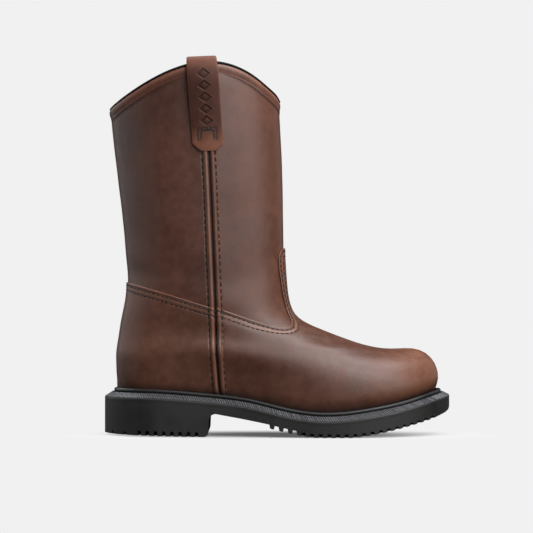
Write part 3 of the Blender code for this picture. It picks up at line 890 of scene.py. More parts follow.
# %% Panel helpers
PANEL_LEATHER = 1.2
FIT_ROUNDS = 4
SEAM_COLUMNS = np.array(
    [0, 0.3, 0.5, 0.65, 0.85, 1.1, 1.5, 2.0, 2.6, 3.2, 3.8, 4.3]
    + [4.6, 4.85, 5.1, 5.35, 5.7, 6.2, 6.7, 7.2, 7.8, 8.6, 10.0]
)


def panel_angles(level, far_angle, count):
    """Angles of a panel's columns on the outer side, from the seam to the back or front line. level has one
    row of columns, which may differ in level."""
    start = seam_angle(level)
    way = np.sign(far_angle - math.pi / 2)
    near = start[:, :1] + way * SEAM_COLUMNS / around_rate(level[:, :1], start[:, :1])
    share = np.linspace(0, 1, count + 1)[1:]
    rest = near[:, -1:] + (far_angle - near[:, -1:]) * share
    return np.concatenate([near, rest], axis=1)


def both_sides(level, angle):
    """The outer half of a panel and its mirror image, joined at the back or front line."""
    mirrored_level = level[:, -2::-1]
    mirrored_angle = 2 * angle[:, -1:] - angle[:, -2::-1]
    return np.concatenate([level, mirrored_level], axis=1), np.concatenate([angle, mirrored_angle], axis=1)


def make_panel(name, level, angle, height, marks):
    """A leather panel as a thickened sheet. Rows go up, and columns round with the angle."""
    points = off_skin(level, angle, height)
    if angle[0, -1] < angle[0, 0]:
        points = points[:, ::-1]
        marks = {mark: values[:, ::-1] for mark, values in marks.items()}
    made = make_mesh(name, points, grid_faces(*level.shape), [upper_leather, raw_edge], marks)
    return thicken(made, PANEL_LEATHER)


print("columns beside each seam:", len(SEAM_COLUMNS))

# %% [markdown]
# ## Shaft
# The shaft is two panels, a front and a back, from the collar down to just under the laps. They could be
# cut out of one tube, but each panel as a grid of its own can roll its edges at the seams. A Solidify
# modifier then gives it the leather's thickness and a raw cut edge.

# %% Shaft panels
LAP_UNDER = 9.0
# Painted light on the shaft's front half, away from the seam, where the key light falls; none on the back
SHAFT_PAINTED_LIGHT = {"back": 0.0, "front": 0.2}

# Columns from the seam to the middle line, and rows
SHAFT_GRID = {"back": (60, 110), "front": (60, 120)}
LEATHER_NODES = ("upper", "side_piping_outer", "side_piping_inner")


def shaft_panel(side, far_angle, foot_level, count, rows):
    """Front or back half of the shaft, from under the lap to the rim."""
    share = np.linspace(0, 1, rows)[:, None]
    width = len(SEAM_COLUMNS) + count
    level = np.broadcast_to(TOP_LEVEL * share, (rows, width))
    for _ in range(FIT_ROUNDS):
        angle = panel_angles(level, far_angle, count)
        bottom = foot_level(angle) - LAP_UNDER
        level = bottom + (TOP_LEVEL - bottom) * share
    level, angle = both_sides(level, angle)
    distance = seam_distance(level, angle)
    height = seam_relief(distance, level, side) + softness(level, angle)
    below_loop = smooth_step(LOOP_DROP - 8, LOOP_DROP, seam_drop(level))
    # Painted shade in the seam's groove, wear and painted highlights on the rolls and stitch rows, and
    # painted light on the front half
    marks = {
        "fold": groove_shade(distance) * below_loop,
        "stretch": seam_wear_and_highlight(distance, side) * below_loop,
        "burnish_and_painted_light": SHAFT_PAINTED_LIGHT[side] * smooth_step(10, 35, distance),
    }
    return make_panel(f"shaft_{side}", level, angle, height, marks)


def front_foot_level(angle):
    """Lower limit of the shaft's front, level with the vamp's edge and straight on under its tongue."""
    corner = np.argmin(EDGE_LEVEL)
    return np.interp(angle, EDGE_ANGLE[:corner], EDGE_LEVEL[:corner])


shaft_back = shaft_panel("back", 0.0, counter_level, *SHAFT_GRID["back"])
shaft_front = shaft_panel("front", math.pi, front_foot_level, *SHAFT_GRID["front"])
hand_in(shaft_back, "upper_leather", *LEATHER_NODES)
hand_in(shaft_front, "upper_leather", *LEATHER_NODES)

# %% [markdown]
# ## Counter
# The counter is the stiff panel round the heel. Its upper edge falls from the back line to the side seams
# and is sewn down with two rows. The grid's rows could be even, but a cut edge and a pressed row are less
# than a millimetre wide, so they stand close together beside the edge and wide apart below.

# %% Counter
NET_ROWS = 40
COUNTER_COLUMNS = 56
COUNTER_FIRST_LEVEL = 120.0
COUNTER_EDGE_TURN, COUNTER_EDGE_POINTS = 1.8, 1600
COUNTER_BURNISH = 0.22

# Close rows of a lapped panel, by their distance from its edge
EDGE_ROWS = np.array(
    [0, 0.12, 0.3, 0.5, 0.75, 1.1, 1.5, 1.9, 2.25, 2.55, 2.8, 3.05, 3.35, 3.7, 4.1, 4.6]
    + [5.2, 5.8, 6.3, 6.65, 6.95, 7.2, 7.45, 7.75, 8.1, 8.6, 9.3, 10.6]
)
FAR_ROWS = 60

# Painted shade on the leather where it goes down to the welt, and the levels between which it ends
FOOT_SHADES = ((0.97, 3.6, 5.0), (0.7, 3, 11))
EDGE_WEAR, EDGE_WEAR_HALF = 0.4, 0.8
# Half width of the painted highlight on the strip between a lap's two rows
STRIP_HIGHLIGHT_HALF = 1.4


def rows_by_edge(level, angle):
    """Spaces the rows of a panel anew: close to its edge by EDGE_ROWS, and evenly from there to the sole."""
    steps = np.linalg.norm(np.diff(skin_point(level, angle)[::-1], axis=0), axis=-1)
    travel = np.concatenate([np.zeros((1, level.shape[1])), np.cumsum(steps, axis=0)])
    spaced = []
    for column in range(level.shape[1]):
        total = travel[-1, column]
        at = np.concatenate([EDGE_ROWS, np.linspace(EDGE_ROWS[-1], total, FAR_ROWS + 1)[1:]])[::-1]
        spaced.append([np.interp(at, travel[:, column], values[::-1, column]) for values in (level, angle)])
    spaced = np.array(spaced)
    return spaced[:, 0].T, spaced[:, 1].T


def lap_marks(level, distance, seam_away, side, burnish_and_painted_light):
    """Marks of a lapped panel: painted shade in the groove and by the welt, wear on its edge, wear and
    painted highlights on the rolls, and painted highlights on the rows and between them.
    """
    # Painted shade at the leather's foot, next to the welt
    foot = [shade * (1 - smooth_step(low, high, level)) for shade, low, high in FOOT_SHADES]
    edge = EDGE_WEAR * bell(distance, 0.0, EDGE_WEAR_HALF)
    # Painted highlight on the strip between the lap's two rows
    strip_highlight = SEAM_SIDES[side]["lap"] * bell(distance, sum(LAP_ROWS) / 2, STRIP_HIGHLIGHT_HALF)
    return {
        "fold": np.maximum.reduce([groove_shade(seam_away), *foot]),
        "stretch": np.maximum.reduce([seam_wear_and_highlight(seam_away, side), edge, strip_highlight]),
        "burnish_and_painted_light": burnish_and_painted_light,
    }


def lapped_panel(name, side, level, angle, edge_line, burnish_and_painted_light):
    """A panel with a lapped edge and seam rolls, from its grid and a line of points along its edge."""
    to_edge = distance_to(edge_line, skin_point(level, angle))
    to_seam = seam_distance(level, angle)
    height = lap_relief(to_edge) + seam_relief(to_seam, level, side) + softness(level, angle)
    return make_panel(name, level, angle, height, lap_marks(level, to_edge, to_seam, side, burnish_and_painted_light))


share = np.linspace(0, 1, NET_ROWS)[:, None]
level = np.broadcast_to(COUNTER_FIRST_LEVEL * share, (NET_ROWS, len(SEAM_COLUMNS) + COUNTER_COLUMNS))
for _ in range(FIT_ROUNDS):
    angle = panel_angles(level, 0.0, COUNTER_COLUMNS)
    level = counter_level(angle[-1]) * share
level, angle = both_sides(*rows_by_edge(level, angle))
edge_turn = np.linspace(-COUNTER_EDGE_TURN, COUNTER_EDGE_TURN, COUNTER_EDGE_POINTS)
edge_line = skin_point(counter_level(edge_turn), edge_turn)
warm = np.full(level.shape, COUNTER_BURNISH)
counter = lapped_panel("counter", "back", level, angle, edge_line, warm)
hand_in(counter, "upper_leather", *LEATHER_NODES)

# %% [markdown]
# ## Vamp
# The vamp is the panel over the toes and the instep. It could be cut out with a Boolean, but its grid
# should follow its edge, also round the corner and along the tongue. So close rows run beside the edge.
# Below them the columns go down to the sole, and their points are relaxed like a net that is pinned along
# its border.

# %% Vamp grid
NET_COLUMNS = 150
NET_ROUNDS = 1200
STRIP_TURN = 16
STRIP_ROWS = EDGE_ROWS[EDGE_ROWS < 8.3]

# Place on the sole (degrees) for each share of the way along the vamp's edge
NET_FEET = (("corner", 0.36, 128.0), ("tongue", 0.56, 152.0), ("round", 0.88, 172.0), ("front", 1.0, 180.0))


def edge_frame(angle, level):
    """Millimetres for a radian and for a level along an edge, and the direction into its panel."""
    up, around = slopes_of(level, angle)
    rates = np.stack([np.linalg.norm(around, axis=-1), np.linalg.norm(up, axis=-1)], axis=-1)
    run = unit(np.stack([np.gradient(angle), np.gradient(level)], axis=-1) * rates)
    return rates, np.stack([run[:, 1], -run[:, 0]], axis=-1)


def relaxed(net):
    """Moves the inner points of a net until its cells are even. The border stays."""
    for _ in range(NET_ROUNDS):
        rise = (net[2:, 1:-1] - net[:-2, 1:-1]) / 2
        run = (net[1:-1, 2:] - net[1:-1, :-2]) / 2
        twist = (net[2:, 2:] - net[2:, :-2] - net[:-2, 2:] + net[:-2, :-2]) / 4
        rise_share = (rise**2).sum(axis=-1, keepdims=True)
        run_share = (run**2).sum(axis=-1, keepdims=True)
        lean = (rise * run).sum(axis=-1, keepdims=True)
        beside = net[1:-1, 2:] + net[1:-1, :-2]
        above = net[2:, 1:-1] + net[:-2, 1:-1]
        pulled = rise_share * beside + run_share * above - 2 * lean * twist
        net[1:-1, 1:-1] = pulled / (2 * (rise_share + run_share))
    return net


def vamp_strip(edge_angle, edge_level):
    """Rows beside the vamp's edge. Columns turn from the seam's direction to square to the edge."""
    rates, inward = edge_frame(edge_angle, edge_level)
    inward[-1] = (0, -1)
    seam_lean = (seam_angle(edge_level - 1) - seam_angle(edge_level)) * rates[:, 0]
    downward = unit(np.stack([seam_lean, -rates[:, 1]], axis=-1))
    away = (edge_angle - seam_angle(edge_level)) * rates[:, 0]
    square = smooth_step(SEAM_COLUMNS[-1], SEAM_COLUMNS[-1] + STRIP_TURN, away)[:, None]
    way = unit(downward * (1 - square) + inward * square)
    way = way / (way * inward).sum(axis=-1, keepdims=True) / rates
    rows = STRIP_ROWS[::-1, None]
    return edge_level + rows * way[:, 1], edge_angle + rows * way[:, 0]


def vamp_net():
    """Level and angle of the vamp's grid on the outer side, rows from the sole to the edge."""
    beside = len(SEAM_COLUMNS)
    rate = around_rate(EDGE_LEVEL[0], seam_angle(EDGE_LEVEL[0]))
    near = seam_angle(EDGE_LEVEL[0]) + SEAM_COLUMNS / rate
    travel = np.hypot(np.diff(np.degrees(EDGE_ANGLE)) * ANGLE_SCALE, np.diff(EDGE_LEVEL))
    travel = np.concatenate([[0.0], np.cumsum(travel)])
    begin = np.interp(near, EDGE_ANGLE[:EDGE_BY_SEAM], travel[:EDGE_BY_SEAM])
    along = np.linspace(0, 1, NET_COLUMNS + 1)[1:]
    places = np.concatenate([begin, begin[-1] + (travel[-1] - begin[-1]) * along])
    edge_angle, edge_level = np.interp(places, travel, EDGE_ANGLE), np.interp(places, travel, EDGE_LEVEL)
    strip_level, strip_angle = vamp_strip(edge_angle, edge_level)
    share = np.linspace(0, 1, NET_ROWS)[:, None]
    seam_levels = strip_level[0, :beside] * share
    seam_angles = seam_angle(seam_levels) + SEAM_COLUMNS / around_rate(seam_levels, seam_angle(seam_levels))
    first = np.degrees(seam_angles[0, -1])
    feet = np.interp(along, [0.0] + [row[1] for row in NET_FEET], [first] + [row[2] for row in NET_FEET])
    foot = np.stack([feet, 0 * feet], axis=-1)
    top = np.stack([np.degrees(strip_angle[0, beside:]), strip_level[0, beside:]], axis=-1)
    border = np.stack([np.degrees(seam_angles[:, -1:]), seam_levels[:, -1:]], axis=-1)
    net = relaxed(np.concatenate([border, foot + (top - foot) * share[..., None]], axis=1))
    low_level = np.concatenate([seam_levels, net[:, 1:, 1]], axis=1)
    low_angle = np.concatenate([seam_angles, np.radians(net[:, 1:, 0])], axis=1)
    return np.concatenate([low_level[:-1], strip_level]), np.concatenate([low_angle[:-1], strip_angle])


level, angle = vamp_net()
across_rows, across_columns = np.diff(angle, axis=1)[:-1], np.diff(level, axis=0)[:, :-1]
turn = across_rows * across_columns - np.diff(level, axis=1)[:-1] * np.diff(angle, axis=0)[:, :-1]
print("vamp cells:", turn.size, "turned over:", int((turn <= 0).sum()))

# %% [markdown]
# ## The vamp's leather
# With its grid in place, the vamp is made like the counter: a lap along its edge, rolls at the seams and the
# soft troughs. The toe is given a warmer tan, partly burnish and partly painted light where the toe faces the
# lamps. That could be painted by hand, but as a formula of the place it fades in evenly from the ball on any
# grid.

# %% Vamp
# Warm tone of the vamp, what the toe adds as burnish and painted light and between which places, and its lean
# about a height
TOE_TAN_AND_LIGHT = {"vamp": 0.15, "toe": 0.58, "from": 70, "full": 138, "lean": 0.35, "height": 50}

level, angle = both_sides(level, angle)
edge_line = np.concatenate([skin_point(EDGE_LEVEL, turn) for turn in (EDGE_ANGLE, 2 * math.pi - EDGE_ANGLE)])
skin = skin_point(level, angle)
forward = skin[..., 0] - TOE_TAN_AND_LIGHT["lean"] * (skin[..., 2] - TOE_TAN_AND_LIGHT["height"])
warm = TOE_TAN_AND_LIGHT["vamp"] + TOE_TAN_AND_LIGHT["toe"] * smooth_step(TOE_TAN_AND_LIGHT["from"], TOE_TAN_AND_LIGHT["full"], forward)
vamp = lapped_panel("vamp", "front", level, angle, edge_line, warm)
hand_in(vamp, "upper_leather", *LEATHER_NODES)

# %% [markdown]
# ## Lining
# The inside of the shaft and foot is lined with black cloth. It is one sheet just inside the leather wall,
# which follows the leather's softness so that it never shows through, and it faces inwards. Two crossing
# wave textures make the weave, which is too fine to be worth modelling.

# %% Lining
LINING_INSET = WALL - 0.3
LINING_THICK = 0.5
LINING_FOOT = 2
LINING_ROWS, LINING_COLUMNS = 90, 144

lining_cloth, tree, shader, place = new_finish("lining_cloth")
weave = {"Vector": place, "Scale": 260, "Distortion": 1.5}
bands = [add_node(tree, "ShaderNodeTexWave", weave, bands_direction=way).outputs["Fac"] for way in "ZX"]
threads = combined(tree, "MAXIMUM", *bands)
colour_by(tree, shader, threads, linear(24, 23, 23), linear(44, 43, 42))
bump_by(tree, shader, threads, 0.4, 0.0004)
shader.inputs["Roughness"].default_value = 0.85

turns = np.linspace(0, -2 * math.pi, LINING_COLUMNS, endpoint=False)
level, angle = np.meshgrid(np.linspace(LINING_FOOT, TOP_LEVEL, LINING_ROWS), turns, indexing="ij")
inside = off_skin(level, angle, softness(level, angle) - LINING_INSET)
faces = grid_faces(LINING_ROWS, LINING_COLUMNS, closed_columns=True)
lining = make_mesh("lining", inside, faces, [lining_cloth])
thicken(lining, LINING_THICK)
hand_in(lining, "lining", "upper")

# %% [markdown]
# ## Collar hem
# The collar's edge is turned over a soft cord and sewn down, so it stands out as a smooth roll about 10 mm
# tall. It could be a bevelled curve, but the roll has to follow the wall's lean all round, so one section is
# carried round the rim point by point.

# %% Collar hem
# Level just under the rim, where the wall's direction can be measured
RIM_LEVEL = TOP_LEVEL - 0.1


def below_rim(angle, drop, n):
    """Points by their drop under the collar's rim and their distance n out from the wall. Above the rim the
    wall is carried straight on."""
    angle, drop, n = np.broadcast_arrays(*(np.asarray(v, float) for v in (angle, drop, n)))
    up, _ = slopes_of(np.full(angle.shape, RIM_LEVEL), angle)
    level = TOP_LEVEL - np.maximum(drop, 0) / np.linalg.norm(up, axis=-1)
    return off_skin(level, angle, n) + np.maximum(-drop, 0)[..., None] * unit(up)


RIM_COLUMNS = 300

# The hem's section, down its outer side and up its inner side (drop under the rim, distance from the wall)
HEM_SECTION = (
    ("top", 0.0, -0.6),
    ("outer shoulder", 0.4, 0.7),
    ("outer crest", 2.2, 1.4),
    ("outer side", 5.4, 1.15),
    ("outer slope", 8.4, 0.55),
    ("outer edge", 10.2, 0.15),
    ("turned in", 10.5, -0.5),
    ("inner edge", 9.4, -WALL - 0.15),
    ("inner side", 5.0, -WALL - 1.0),
    ("inner crest", 1.6, -WALL - 0.9),
    ("inner shoulder", 0.0, -WALL + 0.3),
    ("top again", 0.0, -0.6),
)
HEM_TALL = 10.4
HEM_POINTS = 36
HEM_MIDDLE = 5
HEM_PUFF = {"height": 0.2, "waves": 4, "seed": 7.3}
# Painted shade along the hem's sewn lower edge and its half width, then the crest's drop and how much it is
# lightened, partly with wear and partly as a painted highlight, with the half width of that
HEM_SHADE, HEM_SHADE_HALF = 0.6, 1.8
HEM_CREST, HEM_WEAR_AND_HIGHLIGHT, HEM_WEAR_AND_HIGHLIGHT_HALF = 2.2, 0.3, 1.6

corners = np.array([row[1:] for row in HEM_SECTION])
travel = travel_along(corners)
hem_drop, hem_out = spline(travel, corners, np.linspace(0, travel[-1], HEM_POINTS + 1)[:-1]).T
angle = np.linspace(0, 2 * math.pi, RIM_COLUMNS, endpoint=False)[:, None]
section = below_rim(angle, hem_drop, hem_out)
waves = HEM_PUFF["waves"] * np.concatenate([np.cos(angle), np.sin(angle)], axis=1)
puff = np.array([noise.noise(Vector((*wave, HEM_PUFF["seed"]))) for wave in waves])
swell = HEM_PUFF["height"] * puff[:, None] * np.clip(hem_out, 0, None)
section = section + swell[..., None] * skin_normal(TOP_LEVEL - HEM_MIDDLE + 0 * angle, angle)
# Painted shade along the hem's lower edge, and a lighter crest, partly wear and partly a painted highlight
pressed = HEM_SHADE * bell(hem_drop, HEM_TALL, HEM_SHADE_HALF) * (hem_out > -1)
rubbed_and_lit = HEM_WEAR_AND_HIGHLIGHT * bell(hem_drop, HEM_CREST, HEM_WEAR_AND_HIGHLIGHT_HALF) * (hem_out > 0)
marks = {
    "fold": np.broadcast_to(pressed, section.shape[:2]),
    "stretch": np.broadcast_to(rubbed_and_lit, section.shape[:2]),
}
faces = grid_faces(RIM_COLUMNS, len(hem_drop), True, True)
hem = face_outwards(make_mesh("collar_hem", section, faces, [hem_leather], marks))
settle(hem, sharp=60)
hand_in(hem, "binding_leather", "collar_binding")

# %% [markdown]
# ## Beads
# A bead is a line with a round section: the black edge on the collar and the rubber welt round the foot. A
# curve with a bevel could make one. Here Geometry Nodes turn a loop of edges into a curve and sweep an oval
# along it, so that the same tree serves both, with the oval's width and height as named inputs.

# %% Bead tree
BEAD_SIDES = 14


def new_tree(name, *sizes):
    """A Geometry Nodes tree with geometry in and out, named sizes and a finish as its inputs."""
    tree = bpy.data.node_groups.new(name, "GeometryNodeTree")
    tree.interface.new_socket("Geometry", in_out="INPUT", socket_type="NodeSocketGeometry")
    for label in sizes:
        tree.interface.new_socket(label, in_out="INPUT", socket_type="NodeSocketFloat")
    tree.interface.new_socket("Finish", in_out="INPUT", socket_type="NodeSocketMaterial")
    tree.interface.new_socket("Geometry", in_out="OUTPUT", socket_type="NodeSocketGeometry")
    return tree, tree.nodes.new("NodeGroupInput").outputs, tree.nodes.new("NodeGroupOutput").inputs


def input_names(tree):
    return [item.name for item in tree.interface.items_tree if item.in_out == "INPUT"]


def run_tree(obj, tree, values):
    """Runs a tree on an object, with its inputs set by their identifiers, and settles the result."""
    modifier = obj.modifiers.new(tree.name, "NODES")
    modifier.node_group = tree
    for item in tree.interface.items_tree:
        if item.in_out == "INPUT" and item.name in values:
            modifier[item.identifier] = values[item.name]
    return settle(obj, sharp=60)


def first_out(tree, kind, inputs=(), **settings):
    """Adds a node and gives its first output."""
    return add_node(tree, kind, inputs, **settings).outputs[0]


def end_tree(tree, geometry, given, result):
    """Realizes instances, shades smooth and sets the finish."""
    real = first_out(tree, "GeometryNodeRealizeInstances", {0: geometry})
    smooth = first_out(tree, "GeometryNodeSetShadeSmooth", {0: real})
    finished = first_out(tree, "GeometryNodeSetMaterial", {0: smooth, "Material": given["Finish"]})
    tree.links.new(finished, result[0])


bead_tree, given, result = new_tree("bead", "Width", "Height")
line = first_out(bead_tree, "GeometryNodeMeshToCurve", {0: given["Geometry"]})
upright = first_out(bead_tree, "GeometryNodeSetCurveNormal", {0: line}, mode="Z_UP")
circle = first_out(bead_tree, "GeometryNodeCurvePrimitiveCircle", {"Resolution": BEAD_SIDES, "Radius": 0.5})
size = first_out(bead_tree, "ShaderNodeCombineXYZ", {0: given["Width"], 1: given["Height"], 2: 1.0})
oval = first_out(bead_tree, "GeometryNodeTransform", {0: circle, "Scale": size})
swept = first_out(bead_tree, "GeometryNodeCurveToMesh", {0: upright, 1: oval})
end_tree(bead_tree, swept, given, result)
print("bead inputs:", input_names(bead_tree))

# %% [markdown]
# ## Black edge
# Above the hem a thin black edge of the lining shows all round the collar. It could be a strip of faces,
# but the real edge is round, so it is the bead tree run along a line just over the rim. At the back the
# line lies a little further in, because the shaft leans out there.

# %% Black edge on the collar
RIM_BEAD = {"Width": 4.4 * MM, "Height": 2.5 * MM}
RIM_BEAD_LIFT = 0.7
RIM_INSET, RIM_INSET_BACK = 0.55, 0.75


def loop_edges(count):
    return [(i, (i + 1) % count) for i in range(count)]


rim_black, tree, shader, place = new_finish("rim_black")
colour_by(tree, shader, noise_at(tree, place, 900, 3), linear(4, 4, 4), linear(14, 14, 14))
shader.inputs["Roughness"].default_value = 0.7
shader.inputs["Specular IOR Level"].default_value = 0.2

angle = np.linspace(0, 2 * math.pi, RIM_COLUMNS, endpoint=False)
inset = RIM_INSET + RIM_INSET_BACK * (1 + np.cos(angle)) / 2
rim_line = below_rim(angle, -RIM_BEAD_LIFT, -inset)
rim_edge = make_mesh("rim_edge", rim_line, [], [], edges=loop_edges(RIM_COLUMNS))
run_tree(rim_edge, bead_tree, {**RIM_BEAD, "Finish": rim_black})
hand_in(rim_edge, "lining", "collar_binding")

# %% [markdown]
# ## Pull loops
# A loop is a strap folded over the rim at each side seam and sewn down, to pull the boot on. A curve with a
# flat bevel could make a plain one. Here a section with rounded edges is swept along a path, which is given
# by drop below the rim and distance from the wall, so that the lower end can have clipped corners and the
# face a row of pressed lozenges for grip.

# %% Pull loop path
STRAP_HALF = 13.25
STRAP_THICK = 2.3
STRAP_CLIP = 6.5
STRAP_INSIDE = 45.0
LOZENGE_DROPS = (9.5, 19.8, 30.1, 40.4, 50.7)
LOZENGE_HALF = (5.0, 6.0)
BOX_ROWS = (("outer row", 8.0, 56.8), ("inner row", 5.6, 59.4))
BOX_END = 67.0
STRAP_ROUNDS = 40

# Length of the strap's clipped end, its steps and those of the rest, and the rounding of its tip
STRAP_END, STRAP_END_STEPS, STRAP_STEPS = 8, 18, 250
STRAP_TIP, STRAP_TIP_ROUND = 0.8, 0.6

# The strap's inner face from its sewn end over the rim (drop under the rim, distance from the wall)
STRAP_LINE = (
    ("sewn end", LOOP_DROP, GAP),
    ("sewn", 62.0, GAP),
    ("lifting", 52.0, 0.7),
    ("standing off", 34.0, 2.2),
    ("widest", 12.0, 3.9),
    ("shoulder", 6.0, 3.6),
    ("upper shoulder", 2.0, 2.7),
    ("bend", -1.8, 1.4),
    ("bend top", -4.4, -0.4),
    ("top", -5.3, -2.0),
    ("inner bend", -4.4, -3.5),
    ("inner shoulder", -1.4, -4.6),
    ("inner side", 6.0, -4.6),
    ("inner low", 16.0, -WALL - 0.8),
    ("inner flat", 30.0, -WALL - GAP),
    ("inner end", STRAP_INSIDE, -WALL - GAP),
)


def by_seam(side, drop, across, n):
    """Points placed from a side seam: side is 1 on the outer side and -1 on the inner, across is towards the
    toe, and a drop below 0 stands over the rim."""
    drop, across, n = np.broadcast_arrays(*(np.asarray(v, float) for v in (drop, across, n)))
    level = np.interp(np.maximum(drop, 0), SEAM_DROP, SEAM_LEVEL)
    angle = np.interp(np.maximum(drop, 0), SEAM_DROP, SEAM_ANGLE)
    up, around = slopes_of(np.minimum(level, RIM_LEVEL), angle)
    angle = side * (angle + across / np.linalg.norm(around, axis=-1))
    return off_skin(level, angle, n) + np.maximum(-drop, 0)[..., None] * unit(up) * (1, side, 1)


def seam_rise(drop, across):
    """Height of the leather beside the seam, on which the strap lies."""
    level = np.interp(np.maximum(drop, 0), SEAM_DROP, SEAM_LEVEL)
    angle = seam_angle(level)
    return softness(level, angle + across / around_rate(level, angle))


def strap_path():
    """Inner face of the strap as drop, distance from the wall and half width, closely spaced."""
    corners = np.array([row[1:] for row in STRAP_LINE])
    travel = travel_along(corners)
    close = np.linspace(0, STRAP_END, STRAP_END_STEPS)
    at = np.concatenate([close, np.linspace(STRAP_END, travel[-1], STRAP_STEPS)[1:]])
    line = np.stack([np.interp(at, travel, corners[:, k]) for k in (0, 1)], axis=-1)
    for _ in range(STRAP_ROUNDS):
        line[1:-1] = (line[:-2] + 2 * line[1:-1] + line[2:]) / 4
    half = STRAP_HALF - STRAP_CLIP * (1 - np.clip(at / STRAP_CLIP, 0, 1))
    half = np.where(at < STRAP_TIP, half - STRAP_TIP_ROUND * (1 - at / STRAP_TIP) ** 2, half)
    return at, line, half


def pressed_lozenges(drop, across):
    """Depth of the pressed pattern on the strap's face."""
    depth = np.zeros(np.broadcast(drop, across).shape)
    for middle in LOZENGE_DROPS:
        inside = 1 - np.abs(drop - middle) / LOZENGE_HALF[0] - np.abs(across) / LOZENGE_HALF[1]
        depth += smooth_step(-0.04, 0.22, inside) - 0.75 * smooth_step(0.34, 0.62, inside)
        depth -= 0.35 * bell(inside, -0.12, 0.1)
    return depth


print("strap path length:", round(strap_path()[0][-1]), "mm")

# %% [markdown]
# ## The strap's mesh
# The strap has two faces and rounded edges. Each of its points has a place along the path, a place across
# the strap and a thickness, from which the stitch grooves and the pressed pattern are taken off. A
# displacement texture could press them in too, but then the depth would not follow the strap's own
# measures.

# %% Pull loop meshes
STRAP_COLUMNS = 57
STRAP_EDGE_ROUND, STRAP_EDGE_DROP = 0.9, 0.4
STRAP_LIP, STRAP_LIP_HALF = 0.2, 1.4
PATTERN_DEPTH, GROOVE_PRESS = 0.5, 0.3
BOX_ROW_HALF = 0.7

# How strongly the pattern and the stitch rows are darkened, the edges lightened as wear, the pattern's lip
# lightened, the top fold lightened as a painted highlight and the sewn end warmed as painted light
STRAP_MARKS = {"pattern": 0.6, "row": 0.4, "edge": 0.45, "lip": 0.2, "fold": 0.35, "end": 0.6}


def straight_top(across):
    """Lift that makes the fold straight, where the rim under it is an arch."""
    rate = around_rate(RIM_LEVEL, SEAM_ANGLE[0])
    rim = skin_point(TOP_LEVEL, SEAM_ANGLE[0] + np.stack([across, 0 * across, 0 * across + 1]) / rate)[..., 2]
    return rim[1] + 0.5 * (rim[2] - rim[1]) * across - rim[0]


def box_rows(drop, across):
    """Grooves of the box of stitches, 1 in the middle of a row."""
    rows = np.zeros(across.shape)
    for _, reach, top in BOX_ROWS:
        inside = (drop > top - 1) & (drop < BOX_END)
        rows += bell(np.abs(across), reach, BOX_ROW_HALF) * inside
        rows += bell(drop, top, BOX_ROW_HALF) * (np.abs(across) < reach)
    return rows


def pull_loop(name, side):
    """A strap from its sewn outer end over the rim to its inner end."""
    at, line, half = strap_path()
    along = unit(np.gradient(line, axis=0))
    out = np.stack([along[:, 1], -along[:, 0]], axis=1)
    spread = np.concatenate([np.linspace(-1, 1, STRAP_COLUMNS), np.linspace(1, -1, STRAP_COLUMNS)])
    face = np.concatenate([np.ones(STRAP_COLUMNS), np.zeros(STRAP_COLUMNS)])
    drop = line[:, :1]
    across = spread * half[:, None]
    edge_away = (1 - np.abs(spread)) * half[:, None]
    round_off = np.clip(1 - edge_away / STRAP_EDGE_ROUND, 0, 1)
    round_off = STRAP_EDGE_DROP * (1 - np.sqrt(1 - round_off**2))
    outer_leg = smooth_step(1, 5, drop) * (at < LOOP_DROP)[:, None]
    pattern = pressed_lozenges(drop, across) * face * outer_leg
    rows = box_rows(drop, across)
    lip = bell(edge_away, 0.0, STRAP_LIP_HALF) * STRAP_LIP
    grooves = GROOVE_PRESS * np.clip(rows, 0, 1) * outer_leg
    pressed = STRAP_THICK - round_off - PATTERN_DEPTH * pattern - grooves - lip
    thick = face * pressed + (1 - face) * round_off
    place = line[:, None, :] + thick[..., None] * out[:, None, :]
    rise = seam_rise(place[..., 0], across) * (drop > 0) * (at < LOOP_DROP + 4)[:, None]
    points = by_seam(side, place[..., 0], across, place[..., 1] + rise)
    points[..., 2] += straight_top(across) * (1 - smooth_step(-1, 16, place[..., 0]))
    dark = STRAP_MARKS["pattern"] * np.clip(pattern, 0, 1) + STRAP_MARKS["row"] * rows * face * outer_leg
    pale = STRAP_MARKS["edge"] * bell(edge_away, 0.0, 0.7) + STRAP_MARKS["lip"] * np.clip(-pattern, 0, 1)
    # Painted highlight on the strap's top fold over the rim
    pale = pale + STRAP_MARKS["fold"] * (1 - smooth_step(-1, 8, drop))
    marks = {
        "fold": np.clip(dark, 0, 1),
        "stretch": np.clip(pale, 0, 1),
        # Painted light on the strap's sewn end
        "burnish_and_painted_light": STRAP_MARKS["end"] * (1 - smooth_step(4, 24, at))[:, None] + 0 * across,
    }
    count = points.shape[1]
    faces = grid_faces(len(at), count, closed_columns=True)
    faces += [tuple(range(count))[::-1], tuple(range((len(at) - 1) * count, len(at) * count))]
    return settle(face_outwards(make_mesh(name, points, faces, [loop_leather], marks)))


for name, side in (("pull_loop_outer", 1), ("pull_loop_inner", -1)):
    hand_in(pull_loop(f"{name}_strap", side), "loop_leather", name)

# %% [markdown]
# ## Stitches
# Every row of stitches is the same thing: a short bent piece of waxed thread, repeated at an even spacing
# along a line on the leather. An Array modifier on a curve would bend the copies, so Geometry Nodes lay
# them. The line is a mesh of edges that also carries the leather's outward direction, so that each stitch
# lies flat and its ends dip into the leather.

# %% Thread and stitch tree
ROD_SIDES = 6
ARC_STEPS = 6

# Depth of a stitch's ends and height of its middle, in thread radii
STITCH_DIP, STITCH_CREST = -0.9, 1.3

thread, tree, shader, place = new_finish("waxed_thread")
colour_by(tree, shader, noise_at(tree, place, 1400, 2), linear(10, 8, 8), linear(28, 22, 20))
shader.inputs["Roughness"].default_value = 0.6


